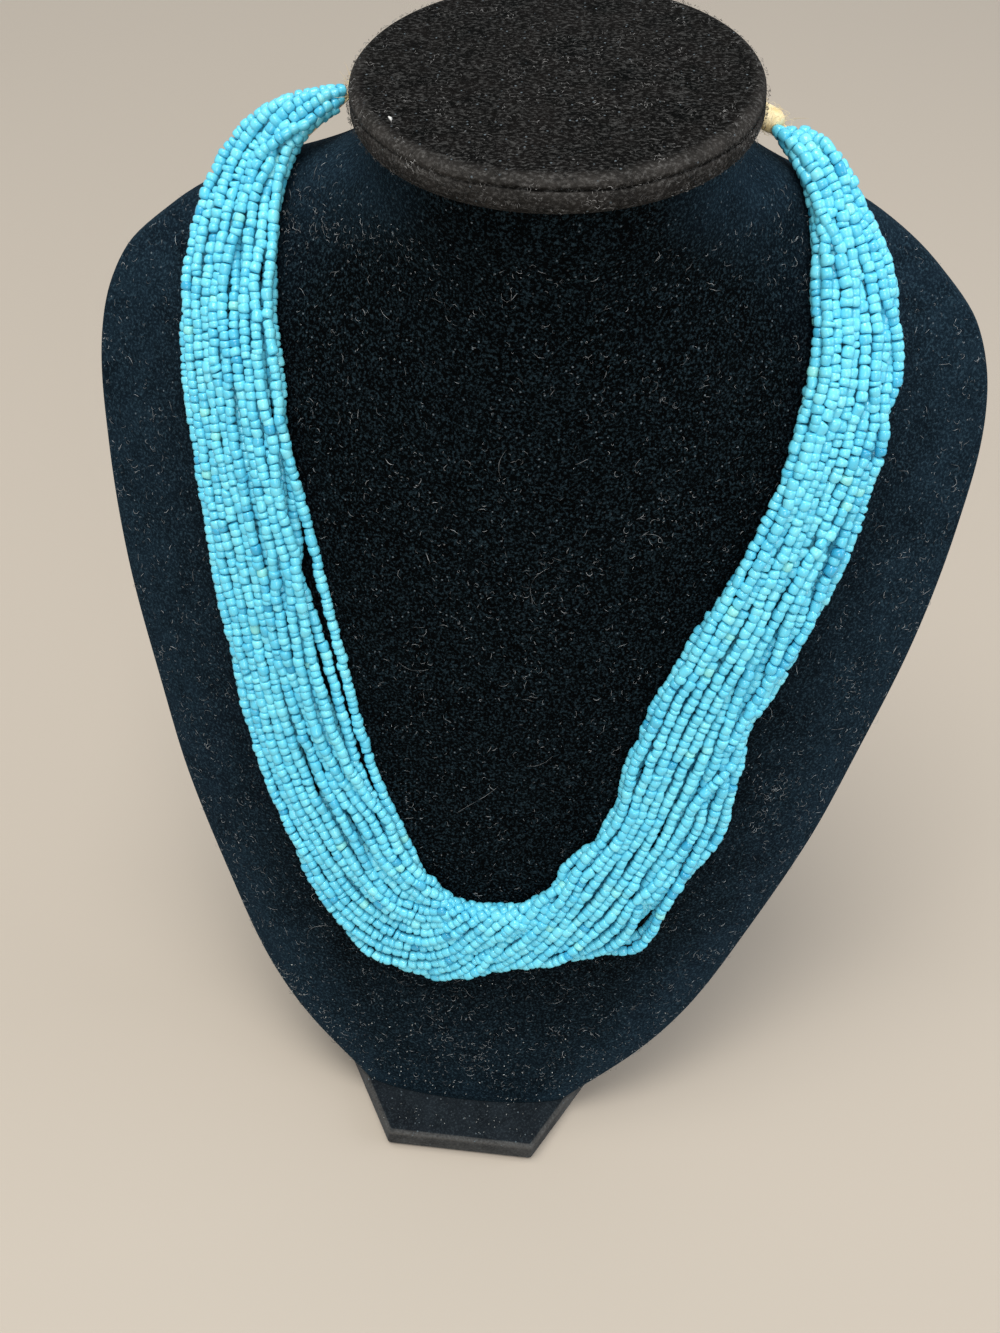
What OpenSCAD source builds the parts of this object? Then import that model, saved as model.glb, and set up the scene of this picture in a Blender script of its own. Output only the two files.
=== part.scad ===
// Multi strand seed bead necklace laid on its velvet neck bust. Front faces -Y, +Z is up, sizes in mm.

/* [Stand] */
// Front edge of the base plate to the back of the clasp
stand_d = 146; // [134:1:170]
// Thickness of the base plate
plate_t = 8; // [5:0.5:12]
// Front edge of the base plate, between its two front corners
plate_front_w = 42; // [30:1:60]
// Width of the base plate across its side corners
plate_w = 84; // [66:1:110]
// Base plate from front to back
plate_l = 110; // [95:1:120]
// Padded body from the plate to the top of the neck
body_h = 265; // [230:1:310]
// Width across the shoulders
bust_w = 212; // [190:1:240]
// Width of the body where it stands on the plate
foot_w = 60; // [48:1:72]
// Foot's front from the plate's front edge
foot_setback = 12.5; // [8:0.5:18]
// Half the thickness of the panel's side edge
edge_t = 5; // [3:0.5:7]
// Diameter of the neck
neck_d = 76; // [70:1:80]
// Diameter of the neck cap
cap_d = 84; // [82:1:92]
// Thickness of the neck cap
cap_t = 8; // [6:0.5:12]
// Rounding of the cap's edges
cap_round = 2.5; // [1:0.25:3]
// Radius of the seam line's groove round the cap
seam_r = 0.4; // [0.2:0.1:0.6]
// Sideways slope of the neck's top and of the cap, in degrees
top_tilt = 3.5; // [0:0.5:5]
// How far the foot stands to the left of the shoulders' middle
lean = 2; // [0:0.25:4]

/* [Necklace] */
// Width of the laid strands where they are widest
bundle_w = 34; // [28:0.5:36]
// Thickness of the laid strands where they leave the gathers
bundle_t = 11; // [8:0.5:12]
// Diameter of a seed bead, and of the strand that lies apart
bead_d = 2.9; // [2:0.1:3.4]
// Diameter of the thread wrap where the strands enter it
wrap_d = 5.5; // [4.5:0.25:7]
// Diameter of the cord round the back of the neck
cord_d = 4; // [3:0.25:5]
// Diameter of the clasp
clasp_d = 7; // [5.5:0.25:9]
// Length of the clasp
clasp_l = 15; // [11:0.5:20]

/* [Fit] */
// Gap between pieces that lie on each other
lay_gap = 0.3; // [0.2:0.05:0.5]

/* [Hidden] */
$fn = 64;

neck_r = neck_d / 2;
plate_front_y = -stand_d / 2;
neck_y = stand_d / 2 - clasp_d - lay_gap - neck_r;
foot_y = plate_front_y + foot_setback;
body_d = neck_y + neck_r - foot_y;
body_z = plate_t + lay_gap;
top_z = body_z + body_h;

// Sections of the padded body. The width is a mix of the foot's, the shoulders' and the neck's, in shares that
// add up to 1. Rim, front and back are places from the foot's front to the neck's back, as shares of that depth.
// A power of 1 makes a round half section, and a higher one draws its middle out from a flat panel.
HEIGHT = 0;
FOOT = 1;
SHOULDER = 2;
NECK = 3;
RIM = 4;
FRONT = 5;
BACK = 6;
FRONT_POWER = 7;
BACK_POWER = 8;
EDGE = 9;
//   height  foot  shoulder neck   rim    front  back   powers      edge
BODY = [
    [0.00,   1.00, 0.00,    0.00,  0.055, 0.000, 0.54,  2.0,  2.0,  1.0],
    [0.07,   0.745, 0.255,  0.00,  0.120, 0.032, 0.54,  2.0,  2.2,  1.0],
    [0.13,   0.585, 0.415,  0.00,  0.180, 0.068, 0.545, 2.0,  2.4,  1.0],
    [0.22,   0.43, 0.57,    0.00,  0.265, 0.113, 0.555, 2.0,  2.6,  1.0],
    [0.33,   0.275, 0.725,  0.00,  0.360, 0.165, 0.57,  2.0,  2.6,  1.0],
    [0.42,   0.18, 0.82,    0.00,  0.440, 0.213, 0.60,  2.1,  2.6,  1.0],
    [0.54,   0.07, 0.93,    0.00,  0.545, 0.270, 0.665, 2.3,  2.6,  1.0],
    [0.65,   0.01, 0.99,    0.00,  0.645, 0.321, 0.745, 2.5,  2.6,  1.0],
    [0.745,  0.00, 1.00,    0.00,  0.730, 0.361, 0.825, 2.8,  2.6,  1.0],
    [0.81,   0.00, 0.92,    0.08,  0.795, 0.385, 0.867, 3.0,  2.6,  1.0],
    [0.855,  0.00, 0.74,    0.26,  0.865, 0.400, 0.885, 3.0,  2.6,  1.0],
    [0.885,  0.00, 0.57,    0.43,  0.940, 0.413, 0.887, 2.8,  2.4,  1.0],
    [0.915,  0.00, 0.37,    0.63,  1.030, 0.430, 0.880, 2.2,  2.0,  0.8],
    [0.94,   0.00, 0.18,    0.82,  1.080, 0.460, 0.960, 1.5,  1.5,  0.6],
    [0.965,  0.00, 0.04,    0.96,  1.080, 0.470, 1.000, 1.1,  1.1,  0.2],
    [1.00,   0.00, 0.00,    1.00,  1.080, 0.470, 1.000, 1.0,  1.0,  0.0]
];
EDGE_POWER = 0.4;
BODY_STEPS = 3;
BODY_SIDES = 44;

// The laid strands' route, its points chosen by hand. Across is a share of half the shoulders' width and up a
// share of the body's height. Depth is a share of the body's depth from the foot's front, or LAID where the
// strands lie on the chest. Width and thickness are shares of the bundle's.
LAID = -1;
//  across  up     depth  width thick
ROUTE = [
    [-0.448, 0.971, 0.822, 0.15, 0.48],
    [-0.508, 0.956, 0.808, 0.24, 0.68],
    [-0.570, 0.940, 0.792, 0.36, 0.86],
    [-0.615, 0.917, 0.770, 0.50, 0.92],
    [-0.652, 0.880, 0.700, 0.64, 0.84],
    [-0.655, 0.833, LAID,  0.72, 0.77],
    [-0.632, 0.764, LAID,  0.78, 0.73],
    [-0.605, 0.688, LAID,  0.76, 0.68],
    [-0.570, 0.607, LAID,  0.78, 0.65],
    [-0.522, 0.516, LAID,  0.86, 0.63],
    [-0.457, 0.430, LAID,  0.88, 0.62],
    [-0.365, 0.352, LAID,  0.88, 0.61],
    [-0.295, 0.307, LAID,  0.92, 0.60],
    [-0.214, 0.274, LAID,  0.97, 0.60],
    [-0.128, 0.256, LAID,  1.00, 0.60],
    [-0.030, 0.257, LAID,  0.92, 0.62],
    [ 0.070, 0.266, LAID,  0.80, 0.64],
    [ 0.160, 0.279, LAID,  0.82, 0.64],
    [ 0.232, 0.298, LAID,  0.88, 0.64],
    [ 0.296, 0.325, LAID,  0.92, 0.64],
    [ 0.368, 0.386, LAID,  0.87, 0.64],
    [ 0.442, 0.498, LAID,  0.84, 0.64],
    [ 0.508, 0.586, LAID,  0.80, 0.64],
    [ 0.570, 0.660, LAID,  0.77, 0.66],
    [ 0.622, 0.744, LAID,  0.73, 0.70],
    [ 0.645, 0.826, LAID,  0.70, 0.76],
    [ 0.618, 0.888, 0.674, 0.60, 0.82],
    [ 0.578, 0.925, 0.719, 0.46, 0.79],
    [ 0.530, 0.954, 0.756, 0.34, 0.77],
    [ 0.478, 0.968, 0.792, 0.22, 0.66],
    [ 0.432, 0.976, 0.818, 0.15, 0.48]
];
ROUTE_STEPS = 2;
// How far along the route, in rows, the next point is taken for its direction
AHEAD = 0.25;
// Way the strands face where they arch off the right shoulder
ARCH_FACE = [0.4, -0.5, 0.77];
// Powers that square the strands' section, across it and through it
ACROSS_POWER = 0.8;
THROUGH_POWER = 0.7;
BUNDLE_SIDES = 36;
LOBES = 9;
LOBE_DEPTH = 0.05;

// The strand that lies apart, on the chest, in the same shares
STRAY = [
    [-0.458, 0.662], [-0.443, 0.638], [-0.419, 0.604], [-0.390, 0.562], [-0.368, 0.526], [-0.338, 0.480],
    [-0.303, 0.436], [-0.266, 0.400], [-0.240, 0.380]
];
STRAY_STEPS = 3;
CORD_SIDES = 8;
CORD_STEPS = 12;
// Height of the cord round the neck, and where it starts beside the neck, in degrees round the section
CORD_UP = 0.975;
CORD_START = 42;
// The thread wrap stands off the strands and the cord because it leaves at an angle, in shares of its diameters
WRAP_SETBACK = 0.36;
CORD_SETBACK = 0.14;

// Which row of a table holds a place, counted from its first column
function row_at(table, place, k = 0) =
    k >= len(table) - 2 || table[k + 1][0] > place ? k : row_at(table, place, k + 1);
// Slope of a column at a row, from the rows on both sides
function slope(table, column, k) =
    let(a = max(k - 1, 0), b = min(k + 1, len(table) - 1))
    (table[b][column] - table[a][column]) / (table[b][0] - table[a][0]);
// A column's value at any place, on a cubic that keeps those slopes
function smooth(table, column, place) =
    let(k = row_at(table, place), span = table[k + 1][0] - table[k][0], t = (place - table[k][0]) / span,
        a = table[k][column], b = table[k + 1][column],
        da = slope(table, column, k) * span, db = slope(table, column, k + 1) * span)
    a + t * (da + t * (3 * (b - a) - 2 * da - db + t * (2 * (a - b) + da + db)));
function unit(v) = v / norm(v);
// The part of v that is square to a unit direction
function square_to(v, direction) = unit(v - direction * (v * direction));

// Half width, middle and depths of the body's section at a share of its height
function half_width(up) =
    smooth(BODY, FOOT, up) * foot_w / 2 + smooth(BODY, SHOULDER, up) * bust_w / 2 + smooth(BODY, NECK, up) * neck_r;
function middle_x(up) = -lean * (smooth(BODY, FOOT, up) + smooth(BODY, NECK, up) / 2);
// How far the sloping top lifts a point
function lift(x, up) = (x - middle_x(up)) * tan(top_tilt) * smooth(BODY, NECK, up);
function body_y(column, up, neck_side) =
    let(n = smooth(BODY, NECK, up))
    (1 - n) * (foot_y + smooth(BODY, column, up) * body_d) + n * (neck_y + neck_side * neck_r);
function rim_y(up) = body_y(RIM, up, 0);
function front_y(up) = body_y(FRONT, up, -1);
function back_y(up) = body_y(BACK, up, 1);
function side_edge(up) = edge_t * smooth(BODY, EDGE, up);
// Chest surface: its Y at a sideways place and a share of the height, and its point there
function chest_y(x, up) =
    let(s = sqrt(max(0, 1 - pow((x - middle_x(up)) / half_width(up), 2))), e = side_edge(up), r = rim_y(up))
    r - e * pow(s, EDGE_POWER) - (r - front_y(up) - e) * pow(s, smooth(BODY, FRONT_POWER, up));
function chest_point(x, up) = [x, chest_y(x, up), body_z + up * body_h + lift(x, up)];
// Point of the section at an angle, 0 at the right rim and 90 at the back
function body_point(up, angle) =
    let(s = abs(sin(angle)), x = middle_x(up) + half_width(up) * cos(angle), e = side_edge(up), r = rim_y(up))
    sin(angle) < 0 ? chest_point(x, up)
    : [x, r + e * pow(s, EDGE_POWER) + (back_y(up) - r - e) * pow(s, smooth(BODY, BACK_POWER, up)),
       body_z + up * body_h + lift(x, up)];
// Outward direction of the chest surface, square to its ways across and up over a small share of the height
SMALL = 0.002;
function chest_normal(x, up) =
    let(d = SMALL * body_h)
    unit(cross(chest_point(x + d, up) - chest_point(x - d, up), chest_point(x, up + SMALL) - chest_point(x, up - SMALL)));

// Closed solid through rings of points that turn anticlockwise seen from the far end
module loft(rings) {
    n = len(rings[0]);
    m = len(rings);
    points = concat([for (r = rings) each r], [average(rings[0]), average(rings[m - 1])]);
    sides = [for (i = [0:m - 2], j = [0:n - 1])
        let(a = i * n + j, b = i * n + (j + 1) % n) each [[a, a + n, b], [b, a + n, b + n]]];
    first = [for (j = [0:n - 1]) [j, (j + 1) % n, m * n]];
    last = [for (j = [0:n - 1]) [(m - 1) * n + (j + 1) % n, (m - 1) * n + j, m * n + 1]];
    polyhedron(points, concat(sides, first, last), convexity = 8);
}
function average(points) = [for (k = [0:2]) sum([for (p = points) p[k]]) / len(points)];
function sum(list, k = 0) = k == len(list) ? 0 : list[k] + sum(list, k + 1);

// Round tube along points, square to the way from each point's neighbours
module tube(points, d) {
    last = len(points) - 1;
    loft([for (i = [0:last])
        let(way = unit(points[min(i + 1, last)] - points[max(i - 1, 0)]), up = square_to([0, 0, 1], way),
            side = cross(up, way))
        [for (j = [0:CORD_SIDES - 1])
            let(a = 360 * j / CORD_SIDES) points[i] + d / 2 * (cos(a) * side + sin(a) * up)]]);
}

module base_plate() {
    side_y = plate_front_y + (plate_w - plate_front_w) / 2 * sqrt(3);
    back_y = plate_front_y + plate_l;
    back_side_y = back_y - (side_y - plate_front_y);
    half = [[plate_front_w / 2, plate_front_y], [plate_w / 2, side_y], [plate_w / 2, back_side_y],
            [plate_front_w / 2, back_y]];
    color("#17181b")
    translate([middle_x(0), 0, 0])
    linear_extrude(plate_t)
    polygon(concat(half, [for (i = [3:-1:0]) [-half[i][0], half[i][1]]]));
}

module bust_form() {
    heights = [for (k = [0:len(BODY) - 2], j = [0:BODY_STEPS - 1])
        BODY[k][HEIGHT] + (BODY[k + 1][HEIGHT] - BODY[k][HEIGHT]) * j / BODY_STEPS];
    color("#1c1d21")
    loft([for (up = concat(heights, [1])) [for (j = [0:BODY_SIDES - 1]) body_point(up, 360 * j / BODY_SIDES)]]);
}

module neck_cap() {
    corner = cap_d / 2 - cap_round;
    color("#1f2024")
    translate([middle_x(1), neck_y, top_z + lay_gap / cos(top_tilt)])
    rotate([0, -top_tilt, 0])
    rotate_extrude()
    difference() {
        union() {
            square([corner, cap_t]);
            translate([0, cap_round]) square([cap_d / 2, cap_t - 2 * cap_round]);
            for (z = [cap_round, cap_t - cap_round]) translate([corner, z]) circle(cap_round);
        }
        translate([-cap_d, 0]) square([cap_d, cap_t]);
        translate([cap_d / 2, cap_t - cap_round]) circle(seam_r);
    }
}

// Route rows with a running number before them, so that smooth() can read them
ROUTE_ROWS = [for (i = [0:len(ROUTE) - 1]) concat([i], ROUTE[i])];
ACROSS = 1;
UP = 2;
DEPTH = 3;
WIDTH = 4;
THICK = 5;
function is_laid(i) = ROUTE[i][DEPTH - 1] == LAID;
// Middle of strands that lie on the chest with a thickness
function laid_middle(x, up, thick) =
    let(p = chest_point(x, up)) [x, p[1] + (thick / 2 + lay_gap) / chest_normal(x, up)[1], p[2]];
// Middle and outward direction of the strands at a route row
function middle(i) =
    let(row = ROUTE[i], x = row[0] * bust_w / 2)
    is_laid(i) ? laid_middle(x, row[1], row[4] * bundle_t) : [x, foot_y + row[2] * body_d, body_z + row[1] * body_h];
function face(i) =
    is_laid(i) ? chest_normal(ROUTE[i][0] * bust_w / 2, ROUTE[i][1])
    : unit([ARCH_FACE[0] * sign(ROUTE[i][0]), ARCH_FACE[1], ARCH_FACE[2]]);
FRAMES = [for (i = [0:len(ROUTE) - 1]) concat([i], middle(i), face(i))];
function frame_at(at, first) = [for (k = [0:2]) smooth(FRAMES, first + k, at)];
function thick_at(at) = smooth(ROUTE_ROWS, THICK, at) * bundle_t;
function middle_at(at) =
    is_laid(floor(at)) && is_laid(ceil(at))
    ? laid_middle(smooth(ROUTE_ROWS, ACROSS, at) * bust_w / 2, smooth(ROUTE_ROWS, UP, at), thick_at(at))
    : frame_at(at, 1);
// Keeps a point in front of the chest where it lies over it
function clear(p) =
    let(level = (p[2] - body_z) / body_h, up = level - lift(p[0], level) / body_h)
    up < 1 && abs(p[0] - middle_x(up)) < half_width(up) ? [p[0], min(p[1], chest_y(p[0], up) - lay_gap), p[2]] : p;

module bead_bundle() {
    last = len(ROUTE) - 1;
    color("#4fc3e0")
    loft([for (k = [0:last * ROUTE_STEPS])
        let(at = k / ROUTE_STEPS, p = middle_at(at),
            way = unit(middle_at(min(at + AHEAD, last)) - middle_at(max(at - AHEAD, 0))),
            out = square_to(frame_at(at, 4), way), side = cross(out, way),
            half_w = smooth(ROUTE_ROWS, WIDTH, at) * bundle_w / 2, half_t = thick_at(at) / 2)
        [for (j = [0:BUNDLE_SIDES - 1])
            let(a = 360 * j / BUNDLE_SIDES, r = 1 - LOBE_DEPTH * (1 - cos(a * LOBES)))
            clear(p + side * (half_w * r * sign(cos(a)) * pow(abs(cos(a)), ACROSS_POWER))
                    + out * (half_t * r * sign(sin(a)) * pow(abs(sin(a)), THROUGH_POWER)))]]);
}

module stray_strand() {
    rows = [for (i = [0:len(STRAY) - 1]) concat([i], STRAY[i])];
    steps = (len(STRAY) - 1) * STRAY_STEPS;
    color("#5ccbe6")
    tube([for (k = [0:steps])
        let(at = k / STRAY_STEPS, x = smooth(rows, 1, at) * bust_w / 2, up = smooth(rows, 2, at))
        chest_point(x, up) + chest_normal(x, up) * (bead_d / 2 + lay_gap)], bead_d);
}

// Middle of the cord beside the neck at an angle round it, side 1 on the right and -1 on the left. It moves out
// to the clasp's own axis towards the middle of the back.
function cord_point(angle, side) =
    let(p = body_point(CORD_UP, angle), q = body_point(CORD_UP, angle + 1), way = unit([q[0] - p[0], q[1] - p[1]]),
        share = (angle - CORD_START) / (90 - CORD_START), middle = middle_x(CORD_UP),
        off = lay_gap + cord_d / 2 + (clasp_d - cord_d) / 2 * pow(share, 2))
    [middle + side * (p[0] - middle + way[1] * off), p[1] - way[0] * off,
     body_z + CORD_UP * body_h + side * (p[2] - body_z - CORD_UP * body_h)];
// Angle at which the cord meets the end of the clasp
CLASP_ANGLE = acos((clasp_l / 2 + lay_gap) / half_width(CORD_UP));

module neck_cord(side) {
    points = [for (k = [0:CORD_STEPS]) cord_point(CORD_START + (CLASP_ANGLE - CORD_START) * k / CORD_STEPS, side)];
    color("#e8d9b0")
    tube(points, cord_d);
}

module thread_wrap(side) {
    start = middle(side < 0 ? 0 : len(ROUTE) - 1);
    finish = cord_point(CORD_START, side);
    way = unit(finish - start);
    before = WRAP_SETBACK * wrap_d;
    after = lay_gap + CORD_SETBACK * cord_d;
    color("#ecdcb0")
    translate(start + way * before)
    rotate([0, acos(way[2]), atan2(way[1], way[0])])
    cylinder(h = norm(finish - start) - before - after, d1 = wrap_d, d2 = cord_d);
}
module thread_wrap_left() thread_wrap(-1);
module thread_wrap_right() thread_wrap(1);
module neck_cord_left() neck_cord(-1);
module neck_cord_right() neck_cord(1);

// Plain barrel clasp behind the neck, its collars a step narrower than the barrel
BARREL_SHARE = 0.6;
COLLAR_SHARE = 0.72;
module clasp() {
    color("#c8a860")
    translate(cord_point(90, 1))
    rotate([0, 90, 0])
    union() {
        cylinder(h = clasp_l * BARREL_SHARE, d = clasp_d, center = true);
        cylinder(h = clasp_l, d = clasp_d * COLLAR_SHARE, center = true);
    }
}

base_plate();
bust_form();
neck_cap();
bead_bundle();
stray_strand();
thread_wrap_left();
thread_wrap_right();
neck_cord_left();
neck_cord_right();
clasp();
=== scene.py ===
# %% [markdown]
# A necklace of many strands of turquoise seed beads, laid on a black velvet neck bust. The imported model
# gives the main solids and their places. This script dresses them: it lays every strand, threads every
# bead on it, winds the thread and the cords, and covers the bust with velvet. Lengths are in millimetres
# until a mesh is made, because that is how a jeweller measures beads, and every mesh is then written in
# metres.

import math
import bpy
import numpy as np
from mathutils import Matrix


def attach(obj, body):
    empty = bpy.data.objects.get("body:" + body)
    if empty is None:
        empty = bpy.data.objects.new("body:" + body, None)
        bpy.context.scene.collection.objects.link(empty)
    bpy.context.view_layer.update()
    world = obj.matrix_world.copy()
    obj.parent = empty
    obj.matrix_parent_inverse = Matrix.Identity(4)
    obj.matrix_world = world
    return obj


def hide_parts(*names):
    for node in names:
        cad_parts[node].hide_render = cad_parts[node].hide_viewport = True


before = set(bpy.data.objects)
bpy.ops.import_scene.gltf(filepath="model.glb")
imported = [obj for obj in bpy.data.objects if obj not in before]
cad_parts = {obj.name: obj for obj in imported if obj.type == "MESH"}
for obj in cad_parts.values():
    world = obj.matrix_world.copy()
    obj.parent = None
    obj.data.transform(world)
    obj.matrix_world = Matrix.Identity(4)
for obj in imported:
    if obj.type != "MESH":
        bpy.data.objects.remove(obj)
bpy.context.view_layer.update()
MM = 0.001
TAU = 2 * math.pi
rng = np.random.default_rng(41)
print("CAD nodes:", ", ".join(sorted(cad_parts)))

# %% [markdown]
# The picture was taken from above and in front, with the camera held a little askew. The camera here
# stands in the same place and looks the same way, because the pattern of the strands is only comparable
# from there. Its place was worked out from the cap's ellipse, the plate's corners and the outline of the
# shoulders.

# %% Camera
PHOTO_H = 1333
FOCAL_PX = 1500
CAMERA_AT = np.array([8.0, -261.7, 424.5])
YAW, PITCH, ROLL = np.radians([-2.47, 48.03, 4.05])


def standing(right, up, back, place):
    """An object's matrix from its right, up and back ways and its place in metres."""
    turn = np.eye(4)
    turn[:3] = np.column_stack([right, up, back, place])
    return Matrix(turn.tolist())


def camera_axes():
    """The camera's right, up and forward ways from its yaw, its pitch downwards and its roll."""
    ahead = np.array([math.sin(YAW), math.cos(YAW), 0.0])
    forward = ahead * math.cos(PITCH) - [0, 0, math.sin(PITCH)]
    level = np.array([math.cos(YAW), -math.sin(YAW), 0.0])
    upward = np.cross(level, forward)
    right = math.cos(ROLL) * level + math.sin(ROLL) * upward
    return right, math.cos(ROLL) * upward - math.sin(ROLL) * level, forward


right, upward, forward = camera_axes()
camera = bpy.data.objects.new("camera", bpy.data.cameras.new("camera"))
bpy.context.scene.collection.objects.link(camera)
camera.matrix_world = standing(right, upward, -forward, CAMERA_AT * MM)
camera.data.sensor_width = 36
camera.data.lens = FOCAL_PX / PHOTO_H * camera.data.sensor_width
camera.data.clip_start = 10 * MM
bpy.context.scene.camera = camera
bpy.context.scene.view_settings.view_transform = "Standard"
print("Camera:", round(camera.data.lens, 2), "mm lens,", round(math.degrees(PITCH), 1), "degrees down")

# %% [markdown]
# Colours are written as hex numbers, as a painter picks them on a screen, and Blender wants them linear.
# Every material is built from nodes, and one small function adds a node, sets it and links it.

# %% Helpers for colours and nodes
def linear(code):
    """An sRGB hex colour as linear red, green and blue, by the sRGB curve, and a full alpha."""
    s = np.array([int(code[i:i + 2], 16) for i in (1, 3, 5)]) / 255
    return (*np.where(s <= 0.04045, s / 12.92, ((s + 0.055) / 1.055) ** 2.4).tolist(), 1.0)


def new_material(name):
    """A material with a Principled shader, and that shader."""
    material = bpy.data.materials.new(name)
    material.use_nodes = True
    return material, material.node_tree.nodes["Principled BSDF"]


def add(material, kind, inputs=None, stops=(), **settings):
    """Adds one node. Settings are its own fields, inputs are its sockets, set or linked, and stops are the
    places and hex colours of a colour ramp."""
    node = material.node_tree.nodes.new(kind)
    for field, value in settings.items():
        setattr(node, field, value)
    link(material, node, inputs or {})
    for _ in stops[2:]:
        node.color_ramp.elements.new(0.5)
    for number, (place, code) in enumerate(stops):
        node.color_ramp.elements[number].position = place
        node.color_ramp.elements[number].color = linear(code)
    return node


def link(material, node, inputs):
    """Sets a node's sockets, or links them where the value is another node's output."""
    for socket, value in inputs.items():
        if isinstance(value, bpy.types.NodeSocket):
            material.node_tree.links.new(value, node.inputs[socket])
        else:
            node.inputs[socket].default_value = value


print("Mid grey is", round(linear("#808080")[0], 3), "in linear light")

# %% [markdown]
# A mesh is a list of points and a list of faces. Filling it by one call for each array is much quicker
# than face by face. Every piece rides on the root body, gets its material, and hides the CAD nodes that
# it stands for.

# %% Helpers for meshes and ways
def add_piece(name, points, faces, material, stands_for=(), values=None):
    """Makes a mesh from points in millimetres and arrays of faces, one array for each number of corners.
    values holds one number a point for each named attribute."""
    mesh = bpy.data.meshes.new(name)
    mesh.vertices.add(len(points))
    mesh.vertices.foreach_set("co", (points * MM).astype(np.float32).ravel())
    corners = np.concatenate([f.ravel() for f in faces]).astype(np.int32)
    sizes = np.concatenate([np.full(len(f), f.shape[1]) for f in faces])
    mesh.loops.add(len(corners))
    mesh.loops.foreach_set("vertex_index", corners)
    mesh.polygons.add(len(sizes))
    mesh.polygons.foreach_set("loop_start", (np.cumsum(sizes) - sizes).astype(np.int32))
    mesh.polygons.foreach_set("use_smooth", np.ones(len(sizes), bool))
    for key, numbers in (values or {}).items():
        mesh.attributes.new(key, "FLOAT", "POINT").data.foreach_set("value", numbers.astype(np.float32))
    mesh.update(calc_edges=True)
    mesh.materials.append(material)
    piece = bpy.data.objects.new(name, mesh)
    bpy.context.scene.collection.objects.link(piece)
    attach(piece, "root")
    if stands_for:
        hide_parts(*stands_for)
    print(f"{name}: {int((sizes - 2).sum())} triangles")


def grid_faces(rows, columns, first=0):
    """Quads over a grid that closes round its columns, with rows running to the right of the columns."""
    i, j = np.meshgrid(np.arange(rows - 1), np.arange(columns), indexing="ij")
    a, b = i * columns + j, i * columns + (j + 1) % columns
    return first + np.stack([a, b, b + columns, a + columns], -1).reshape(-1, 4)


def unit(v):
    """Vectors brought to length one."""
    return v / np.linalg.norm(v, axis=-1, keepdims=True)


def square_to(v, way):
    """The part of each vector that is square to a unit way, brought to length one."""
    return unit(v - (v * way).sum(-1, keepdims=True) * way)


print("A closed grid of 3 rings and 4 sides has", len(grid_faces(3, 4)), "faces")

# %% [markdown]
# The bust's padded body is a moulded half torso under velvet: a narrow foot, broad flat shoulders and a
# round neck. It could be sculpted, but every section of it is a simple curve, so its table of sections
# from the CAD model is repeated here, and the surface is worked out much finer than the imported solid. The
# same functions then say where the chest is under every strand, bead and speck of lint. Each row of the
# table holds a share of the height, three shares that mix the foot's, the shoulders' and the neck's
# width, the depths of the rim, the front and the back, the powers that draw the front and the back out,
# and how much of the thin rim is left.

# %% Sizes and sections of the body
STAND_D, PLATE_T, PLATE_FRONT_W, PLATE_W, PLATE_L = 146.0, 8.0, 42.0, 84.0, 110.0
BODY_H, BUST_W, FOOT_W, FOOT_SETBACK, EDGE_T = 265.0, 212.0, 60.0, 12.5, 5.0
NECK_D, CAP_D, CAP_T, CAP_ROUND, SEAM_R = 76.0, 84.0, 8.0, 2.5, 0.32
TOP_TILT, LEAN = math.radians(3.5), 2.0
BUNDLE_W, BUNDLE_T, BEAD_D, WRAP_D, CORD_D, CLASP_D, CLASP_L = 34.0, 11.0, 2.9, 5.5, 4.0, 7.0, 15.0
LAY_GAP = 0.3
NECK_R = NECK_D / 2
PLATE_FRONT_Y = -STAND_D / 2
NECK_Y = STAND_D / 2 - CLASP_D - LAY_GAP - NECK_R
FOOT_Y = PLATE_FRONT_Y + FOOT_SETBACK
BODY_D = NECK_Y + NECK_R - FOOT_Y
BODY_Z = PLATE_T + LAY_GAP
TOP_Z = BODY_Z + BODY_H
FOOT, SHOULDER, NECK, RIM, FRONT, BACK, FRONT_POWER, BACK_POWER, EDGE = range(1, 10)
EDGE_POWER = 0.4
SMALL = 0.002
NEARLY_ALL = 0.001, 0.997
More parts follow.
